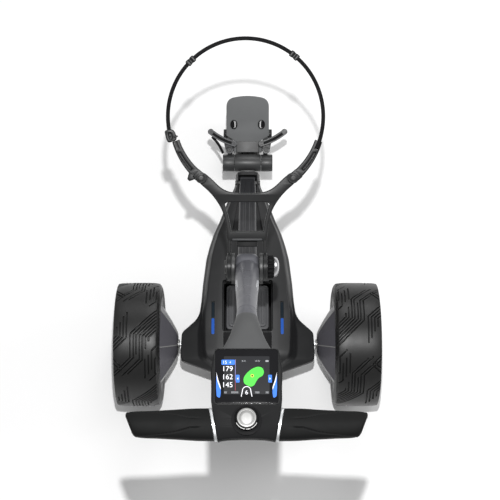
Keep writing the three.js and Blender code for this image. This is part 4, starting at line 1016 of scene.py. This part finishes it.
def hoop():
    mid = (RING["x"], RING["centre"])
    centre_line = (RING["inner"] + RING["outer"]) / 2
    right_key, left_key = RAD(51.3), RAD(134.5)
    left_tip = math.pi - ARM_END

    def section(grow=0.0):
        """The webbing's section, or a larger one round it."""
        half = (RING["outer"] - RING["inner"]) / 2 + grow
        low, high = RING["back"] - grow, RING["front"] + grow
        return rounded([(half, low), (half, high), (-half, high), (-half, low)], 1.5, 5)

    def webbing(start, end):
        steps = max(24, int(abs(end - start) * 130))
        rows = np.array(band(arc(centre_line, start, end, mid, steps), section()))
        # Cross ribs of the weave, as real relief.
        out = rows - rows.mean(1, keepdims=True)
        ripple = 1 + 0.022 * np.cos(np.arange(len(rows)) * math.pi)[:, None, None]
        rows = rows.mean(1, keepdims=True) + out * ripple
        return skin("webbing", rows, SUPPORT)

    gap = 0.3 / centre_line
    piece("hoop_strap_top", webbing(right_key + gap, left_key - gap), "upper_support", "strap",
          ("strap_top",))
    for name, start, end in (("right", ARM_END - 0.09, right_key - gap), ("left", left_tip - 0.14, left_key + gap)):
        made = strap(f"hoop_strap_{name}", webbing(start, end), f"strap_{name}")
        near, far = (SUPPORT @ Vector((*polar(mid, centre_line, start + (end - start) * share), -6))
                     for share in (0.08, 0.92))
        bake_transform(made)
        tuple(near)
        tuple(far)
    # Each keeper is a ribbed sleeve round the strap: an angle either side of its middle, and how far it stands out.
    half_keeper = [(0.062, 1.4), (0.058, 2.0), (0.05, 2.4), (0.018, 2.4), (0.012, 1.7)]
    profile = [(-turn, grow) for turn, grow in half_keeper] + half_keeper[::-1]
    for name, angle in (("right", right_key), ("left", left_key)):
        rows = []
        for turn, grow in profile:
            a = angle + turn
            normal = np.array([math.cos(a), math.sin(a)])
            rows.append([(*(polar(mid, centre_line, a) + normal * off), z) for off, z in section(grow)])
        piece(f"keeper_{name}", skin("keeper", rows, SUPPORT), "upper_support", "structure",
              (f"strap_keeper_{name}",))

    def hooked(*corners):
        """Corners at a radius and at an angle from the left arm's tip."""
        return [polar(mid, radius, left_tip + turn) for radius, turn in corners]

    # Hooked buckle: a frame bent round the strap's end with a plate behind it, a bar and a tongue.
    frame_line = rounded(hooked((157, 0.004), (158.5, -0.06), (158, -0.15), (151, -0.162), (141.5, -0.15),
                                (138.5, -0.085), (140, 0.004)), 5, 6)
    hole = hooked((152, -0.026), (152.4, -0.07), (151.4, -0.115), (147.6, -0.12), (146, -0.085), (146.4, -0.031))
    shape = plate("buckle", [frame_line, rounded(hole, 2.5, 6)], -14, 3, SUPPORT, 1.4)
    back = plate("back", [frame_line], -15, -10, SUPPORT, 1.0)
    bar = upright("bar", rect(0.2, 2.2, -12, 1), *hooked((148.5, -0.085))[0], 24, SUPPORT)
    catch = rounded(hooked((136, -0.06), (143, -0.066), (143, -0.03), (135, -0.036)), 2)
    buckle = joined("buckle", shape, back, bar, plate("tongue", [catch], -4, 3.5, SUPPORT, 1.0))
    piece("hoop_buckle", buckle, "left_upper_arm", "structure", ("strap_buckle",))


def arms():
    head = [(0.2, -15), (2.9, -15), (2.9, 2.2), (5.2, 2.3), (5.5, 2.8), (5.4, 4.4), (4.6, 5), (2.4, 5), (2.2, 3.4),
            (0.2, 3.4)]
    for name, side in SIDES:
        piece(f"hoop_arm_{name}", arm_mesh(side), f"{name}_upper_arm", "structure",
              (f"upper_arm_{name}",), 30)
        screw = upright("screw", head, side * ARM_SCREW.x, ARM_SCREW.y, 36, SUPPORT)
        piece(f"hoop_arm_screw_{name}", screw, "upper_support", "burnished", (f"upper_arm_screw_{name}",))


support()
hoop()
arms()


# ------------------------------------------------------------------ handle
def oval(y, z, turn, width, depth, sides, power):
    """A rounded section, square to a slope in the side view. A larger power makes it squarer."""
    t = full_turn(sides)
    c, s = np.cos(t), np.sin(t)
    u = width / 2 * np.sign(c) * np.abs(c) ** (2 / power)
    v = depth / 2 * np.sign(s) * np.abs(s) ** (2 / power)
    return np.stack([u, y - math.sin(turn) * v, z + math.cos(turn) * v], 1)


STEM_ROUND = 2.1


def along_stem(distance):
    return (HINGE.y + distance * math.cos(STEM_TURN), HINGE.z + distance * math.sin(STEM_TURN))


def stem_size(at):
    """The stem's width and depth at distances from the hinge."""
    return through([(45, 38), (45, 38), (43, 36), (38, 33), (34, 31)], at, [16, 70, 130, 215, 300])


def stem():
    at = np.concatenate([[17, 18], np.linspace(20, 296, 50), [298.5, 300]])
    ease = np.where(at > 297, 0.95, 1.0)
    rows = [oval(*along_stem(s), STEM_TURN, w * e, d * e, 96, STEM_ROUND)
            for s, w, d, e in zip(at, *stem_size(at), ease)]
    piece("stem_tube", skin("stem", rows), "handle", "tube", ("handle_stem",), 40)
    # The hinge's own drum, with well rounded ends.
    ends = [(26 - 13 * (1 - math.cos(a)), 10 + 13 * math.sin(a)) for a in np.linspace(0, math.pi / 2, 9)]
    drum = [(6.4, -23), *[(r, -x) for r, x in reversed(ends)], *ends, (6.4, 23)]
    piece("hinge_drum", turned("drum", drum, HINGE, 96), "handle", "tube", ("handle_knuckle",), 60)
    for name, side in SIDES:
        for k, (start, end, lift) in enumerate(((112, 150, 4.0), (156, 176, 4.0), (124, 168, 8.2))):
            piece(f"stem_mark_{name}_{k}", stem_mark(side, start, end, lift), "handle", "mark")


def stem_mark(side, start, end, lift):
    """A pale generic stripe on one side of the stem's rear half, a fixed distance from its middle line."""
    rows, sides = [], 360
    for s in np.linspace(start, end, 12):
        y, z = along_stem(s)
        width, depth = (float(size[0]) for size in stem_size(np.array([s])))
        full, inner = (oval(y, z, STEM_TURN, width + grow, depth + grow, sides, STEM_ROUND) for grow in (0.5, -1))
        v = (full[:, 1] - y) * -math.sin(STEM_TURN) + (full[:, 2] - z) * math.cos(STEM_TURN)
        pick = [i for i in range(sides) if full[i, 0] * side > 0 and lift < -v[i] < lift + 2.4]
        rows.append([full[pick[0]], full[pick[-1]], inner[pick[-1]], inner[pick[0]]])
    return skin("mark", rows)


stem()

CONSOLE = {"front": -233, "rear": -388, "top": 935, "split": 912, "bottom": 897}
BAR = {"y": -357.6, "z": 917}
DIAL_Y = -352
TRIM_X = 56
SLEEVE_END = 1.2


def console_outline():
    front, rear = CONSOLE["front"], CONSOLE["rear"]
    side = [
        (44, front), (51, front - 3), (55, front - 10), (59, front - 38), (58, front - 66), (58, -322),
        (TRIM_X + 0.9, -330), (TRIM_X - 9, rear + 2.4), (TRIM_X - 14, rear + 4.2), (30, rear + 6), (10, rear + 7),
    ]
    return rounded(symmetric(side), 3, 4)


def rear_roll(mesh):
    """Thins the console towards the user, like the grips beside it."""
    low, high = ((ROW @ Vector((0, 0, CONSOLE[level]))).z for level in ("bottom", "top"))
    middle, start = (low + high) / 2, -350
    for v in mesh.vertices:
        y = (v.co.y - axle.y) / MM
        if y < start:
            t = min(1.0, (start - y) / (start - CONSOLE["rear"]))
            share = (v.co.z - middle) / (high - middle)
            v.co.z -= 13.5 * t**2.6 * MM * max(0, share)
            v.co.z += 13 * t**2.2 * MM * max(0, -share)
    return mesh


def console():
    top, split, bottom = CONSOLE["top"], CONSOLE["split"], CONSOLE["bottom"]

    def diced(bm):
        """Gives a flat plate enough points across its depth to be bent."""
        for y in np.arange(-386, -348, 3.0):
            everything = bm.verts[:] + bm.edges[:] + bm.faces[:]
            bmesh.ops.bisect_plane(bm, geom=everything, plane_co=ROW @ Vector((0, y, 0)), plane_no=(0, 1, 0),
                                   dist=1e-7)

    def slab(name, low, high, bevel):
        return rear_roll(edited(plate(name, [console_outline()], low, high, ROW, bevel, 4), diced))

    recess = plate("recess", [rounded(rect(-51.8, 51.8, -326.4, -235.2), 6, 6)], top - 2.4, top + 10, ROW, 0.05)
    well = upright("well", [(0.2, top - 3.4), (20.6, top - 3.4), (20.9, top + 6), (0.2, top + 6)], 0, DIAL_Y, 96)
    seam = plan_tool(rect(-70, 70, -328.6, -327.7), top - 0.9, top + 5)
    shell = slab("shell", split + 0.3, top, 2.6)
    piece("console_top", boolean(shell, [recess, well, seam]), "handle", "console", ("console_shell",), 32)
    # Gooseneck from the stem's end, flaring to the underside of the console.
    knots = [(*along_stem(300.3), STEM_TURN, 35.5, 32), (-166, 881, 2.25, 37.5, 31), (-187, 900, 2.5, 46, 30),
             (-212, 912, 2.8, 62, 28), (-236, 916, 3.08, 88, 26)]
    at = np.linspace(0, 4, 44)
    rounds = np.interp(at, [0, 1, 3], [STEM_ROUND, STEM_ROUND, 2.6])
    rows = [oval(*row[:-1], 96, row[-1]) for row in zip(*through(knots, at), rounds)]
    joint_row = int(np.searchsorted(at, SLEEVE_END))
    piece("stem_sleeve", skin("sleeve", rows[: joint_row + 1]), "handle", "tube", (), 60)
    piece("console_neck", skin("neck", rows[joint_row:]), "handle", "neck", ("console_base",), 40)
    piece("console_underside", slab("base", bottom, split, 2.2), "handle", "structure")
    rim = [rounded(rect(-53.6, 53.6, -328, -233.8), 8, 8), rounded(rect(-52.3, 52.3, -326.8, -235), 7, 8)]
    piece("display_rim", plate("rim", rim, top - 1, top + 1, ROW, 0.3), "handle", "structure")


def display():
    """The glass and its generic picture: plain distances, a green, a speed and a row of small marks."""
    top = CONSOLE["top"]
    glass = plate("glass", [rounded(rect(-51.5, 51.5, -326, -235.5), 6, 6)], top - 1.9, top + 0.3, ROW, 0.25)
    piece("display_panel", glass, "handle", "glass", ("display_glass",))
    level = top + 0.33

    def flat(name, paint, lift, *outlines, thick=0.12):
        mesh = plate(name, outlines, level + lift, level + lift + thick, ROW, 0.02, 0)
        piece(name, mesh, "handle", paint)

    def block(name, paint, lift, corner, *edges, thick=0.12):
        flat(name, paint, lift, rounded(rect(*edges), corner), thick=thick)

    def number(name, text, x, y, size, lift=0.1, paint="white"):
        curve = bpy.data.curves.new(name, "FONT")
        curve.body = text
        curve.size = size
        curve.extrude = 0.06
        curve.align_x, curve.align_y = "CENTER", "CENTER"
        mesh = evaluated(linked(name, curve))
        mesh.transform(ROW @ Matrix.Translation((x, y, level + 0.14 + lift)))
        piece(name, mesh, "handle", paint)

    # The lit area is a faint dark panel on the black glass.
    block("screen_area", "screen", 0.0, 1.5, -37.5, 37.5, -311, -247, thick=0.05)
    for name, text, y in (("far", "179", -268.6), ("mid", "162", -282.3), ("near", "145", -295.6)):
        number(f"distance_{name}", text, -31.5, y, 12.2)
    block("hole_badge", "blue", 0.1, 1.6, -41.5, -19.4, -261.6, -253)
    number("hole_number", "15", -36, -257.6, 7.4, 0.25)
    number("hole_par", "4", -27, -257.6, 5.2, 0.25)
    number("status_0", "8.41", -4.5, -255.2, 4.0, 0.1, "grey")
    number("status_1", "10:30", 17.5, -255.2, 4.0, 0.1, "grey")
    block("status_bar", "grey", 0.1, 0.6, 31, 36, -256.6, -253.8)
    flat("divider_up", "lilac", 0.1, rect(-18.9, -18.2, -288, -252.5))
    flat("divider_low", "rose", 0.1, rect(-18.9, -18.2, -305, -288))
    for (name, s), x in zip(SIDES, (-14.6, 38.4)):
        block(f"arrow_tab_{name}", "blue", 0.1, 1.2, x - 3, x + 3, -291.5, -278.5)
        flat(f"arrow_{name}", "white", 0.25, [(x - s * 1, -283), (x + s * 1.2, -285), (x - s * 1, -287)])
    # The green, a kidney outline with a marker on it.
    kidney = [(2.6, -297), (-4.5, -293), (-5.4, -284), (0.5, -275), (9, -268), (18.5, -264.4), (26, -266.5),
              (28.6, -273), (26.6, -280), (20.2, -283), (16.5, -288), (12, -296.5), (7, -298.6)]
    flat("green_shape", "green", 0.1, rounded(kidney, 9, 8))
    flat("green_ring", "yellow", 0.25, circle(9.2, -280, 2.7), circle(9.2, -280, 1.6))
    flat("green_pin", "pin", 0.25, circle(9.2, -280, 1.3))
    # Curved blades down both sides of the screen: a white edge over a blue body.
    body = [(49.6, -279), (45.6, -292), (42.6, -300), (42.2, -309), (43.6, -317.5), (48.8, -315), (49.8, -300)]
    edge = [(49.9, -273.5), (46.2, -288), (42.4, -299), (42.4, -304), (44.6, -298), (48.2, -288)]
    for name, s in SIDES:
        flat(f"blade_{name}", "blue", 0.06, rounded([(s * x, y) for x, y in body], 3, 5))
        flat(f"blade_edge_{name}", "white", 0.2, rounded([(s * x, y) for x, y in edge], 1.6, 4))
    for k, (x, wide) in enumerate(((-34.5, 4.4), (-19.5, 12), (17.5, 7), (33.5, 5))):
        for j in range(2):
            y = -307.6 - j * 1.7
            block(f"menu_{k}_{j}", "grey", 0.1, 0.3, x - wide / 2, x + wide / 2, y, y + 0.8)
    arch, inside = ([tuple(p) for p in arc(radius, RAD(start), RAD(180 - start), (0, -305), 20)]
                    for radius, start in ((7.4, 0), (6.2, 180)))
    flat("speed_arch", "white", 0.1, [(9.4, -315), *arch, (-9.4, -315), (-8.2, -315), *inside, (8.2, -315)])
    number("speed_number", "6", 0, -308.2, 10)


def dial():
    top, middle = CONSOLE["top"], (0, DIAL_Y)
    (z0, z1), (c0, c1) = ([layout(corner).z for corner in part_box(node)] for node in ("dial_collar", "dial_cap"))
    depths = [0, 0, 0.5, 0.5, 0.2, 0, 0]

    def knurl(row, radius, turn):
        return radius - depths[row] * (0.5 + 0.5 * np.sign(np.cos(turn * 30)))

    profile = [(16.3, z0), (19.2, z0), (19.5, z0 + 0.8), (19.3, z1 - 1.6), (18.6, z1 - 0.5), (17.4, z1),
               (16.3, z1 - 0.2)]
    collar = upright("collar", profile, *middle, 240, ROW, knurl)
    bore = upright("bore", [(0.2, z0 - 5), (16.1, z0 - 5), (16.1, z1 + 5), (0.2, z1 + 5)], *middle, 96)
    piece("speed_dial", boolean(collar, [bore]), "dial", "deep", ("dial_collar",), 30)
    sides = 72
    # Painted shadow: a near-black ring round the dial, set off towards the user so it is thicker on that side.
    ring = [[tuple(p) for p in arc(r, 0, 2 * math.pi * (sides - 1) / sides, (0, DIAL_Y - lean), sides)]
            for r, lean in ((24.8, 1.8), (20.9, 0))]
    piece("dial_painted_shade", plate("shade_ring", ring, top - 0.6, top + 0.25, ROW, 0.2), "handle", "deep")
    # Painted highlight: bright metal arcs on the collar's rim on the user's side only, where the light catches it.
    for k, (a0, a1) in enumerate(((205, 262), (266, 290), (294, 335))):
        outline = sector(middle, 19.1, 17.5, RAD(a0), RAD(a1), 24)
        piece(f"dial_rim_highlight_{k}", plate("arc", [outline], z1 - 1.4, z1 + 0.25, ROW, 0.3), "dial", "silver_and_highlight")
    profile = [(0.2, c0), (15.4, c0), (15.7, c0 + 0.5), (15.7, c1 - 1.4), (15.1, c1 - 0.6), (13.6, c1 - 0.35),
               (12.9, c1 - 0.75), (12.2, c1 - 0.75), (11.6, c1 - 0.3), (7, c1 - 0.1), (0.2, c1)]
    piece("speed_button", upright("cap", profile, *middle, 96), "dial_button", "silver_and_highlight", ("dial_cap",))


look |= {
    "screen": glow("screen_dark", (0.02, 0.021, 0.026), 0.35),
    "white": glow("screen_white", (0.95, 0.96, 1.0), 1.0),
    "grey": glow("screen_grey", (0.55, 0.57, 0.6), 0.5),
    "blue": glow("screen_blue", (0.05, 0.22, 0.85), 0.9),
    "lilac": glow("screen_lilac", (0.4, 0.36, 0.75), 0.7),
    "rose": glow("screen_rose", (0.5, 0.08, 0.12), 0.6),
    "green": glow("screen_green", (0.1, 0.78, 0.08), 0.9),
    "yellow": glow("screen_yellow", (0.8, 0.75, 0.1), 0.9),
    "pin": glow("screen_pin", (0.04, 0.05, 0.01), 0.4),
}
console()
display()
dial()


def grips():
    first, flat_end = 57.2, 186
    knots = [(56, 35, 0.175), (55, 35, 0.18), (51, 34, 0.2), (47, 33, 0.27), (43, 31, 0.36), (38, 26, 0.4)]
    at = np.concatenate([np.linspace(first, flat_end, 150), [188, 189.6, 190.8, 191.7, 192.3, 192.5]])
    turn = full_turn(128)

    def loop(depth, height):
        """A grip's section, a little square, as offsets in depth and height."""
        return depth / 2 * np.cos(turn) * (1 - 0.06 * np.cos(4 * turn)), height / 2 * np.sin(turn)

    rows = []
    for x, depth, height, lean in zip(at, *through(knots, at, [first, 85, 115, 150, 184, 192.5])):
        if x > flat_end:
            ease = math.sqrt(max(0.0, 1 - ((x - flat_end) / 6.6) ** 2.2))
            depth, height = 43 * (0.55 + 0.45 * ease), 31 * (0.5 + 0.5 * ease)
        dy, dz = loop(depth, height)
        # Two moulded seams: one starts at the front edge and one at the rear, and both curve in along the grip.
        reach = np.interp(x, [57, 92, 120, 190], [0.25, 0.3, 0.62, 1.15])
        seam = np.zeros_like(turn)
        for s in (1, -1):
            seam = np.maximum(seam, np.exp(-(((turn - (math.pi / 2 - s * reach)) * depth / 2) / 0.8) ** 2))
        shrink = 1 - 0.085 * seam * np.clip((x - 66) / 20, 0, 1)
        rows.append(np.stack([x + lean * dy, BAR["y"] + dy * shrink, BAR["z"] + dz * shrink], 1))
    ring_rows = []
    for shift, grow in ((-4.6, -1.2), (-4.4, -0.3), (-3.6, 0), (-1.3, 0), (-0.6, -0.3), (-0.5, -1.2)):
        dy, dz = loop(58 + grow, 36.5 + grow)
        ring_rows.append(np.stack([first + 0.175 * dy + shift, BAR["y"] + dy, BAR["z"] + dz], 1))
    grip, trim = skin("grip", rows), skin("trim", ring_rows)
    for name, side in SIDES:
        piece(f"handle_grip_{name}", sided(grip, side), "handle", "grip", (f"grip_{name}",), 40)
        piece(f"handle_trim_{name}", sided(trim, side), "handle", "trim", (f"grip_trim_{name}",), 40)


grips()


# ------------------------------------------------------------------ CAD nodes that are shown as they are
SHOWN = {
    "battery_tray": "structure", "axle_bearing_left": "steel", "axle_bearing_right": "steel", "drive_motor": "zinc",
    "gearbox_case": "zinc", "motor_pinion": "steel", "rear_axle": "steel", "drive_gear": "steel",
    "front_pivot_pin": "burnished", "spine_pivot_pin": "burnished", "handle_cross_tube": "steel",
}
for node, paint in SHOWN.items():
    data = frame["nodes"][node].data
    data.materials.clear()
    data.materials.append(look[paint])

hidden = {n for n, o in frame["nodes"].items() if o.hide_render}
left_over = sorted(set(frame["nodes"]) - hidden - set(SHOWN))
if left_over:
    raise RuntimeError(f"no look for {left_over}")
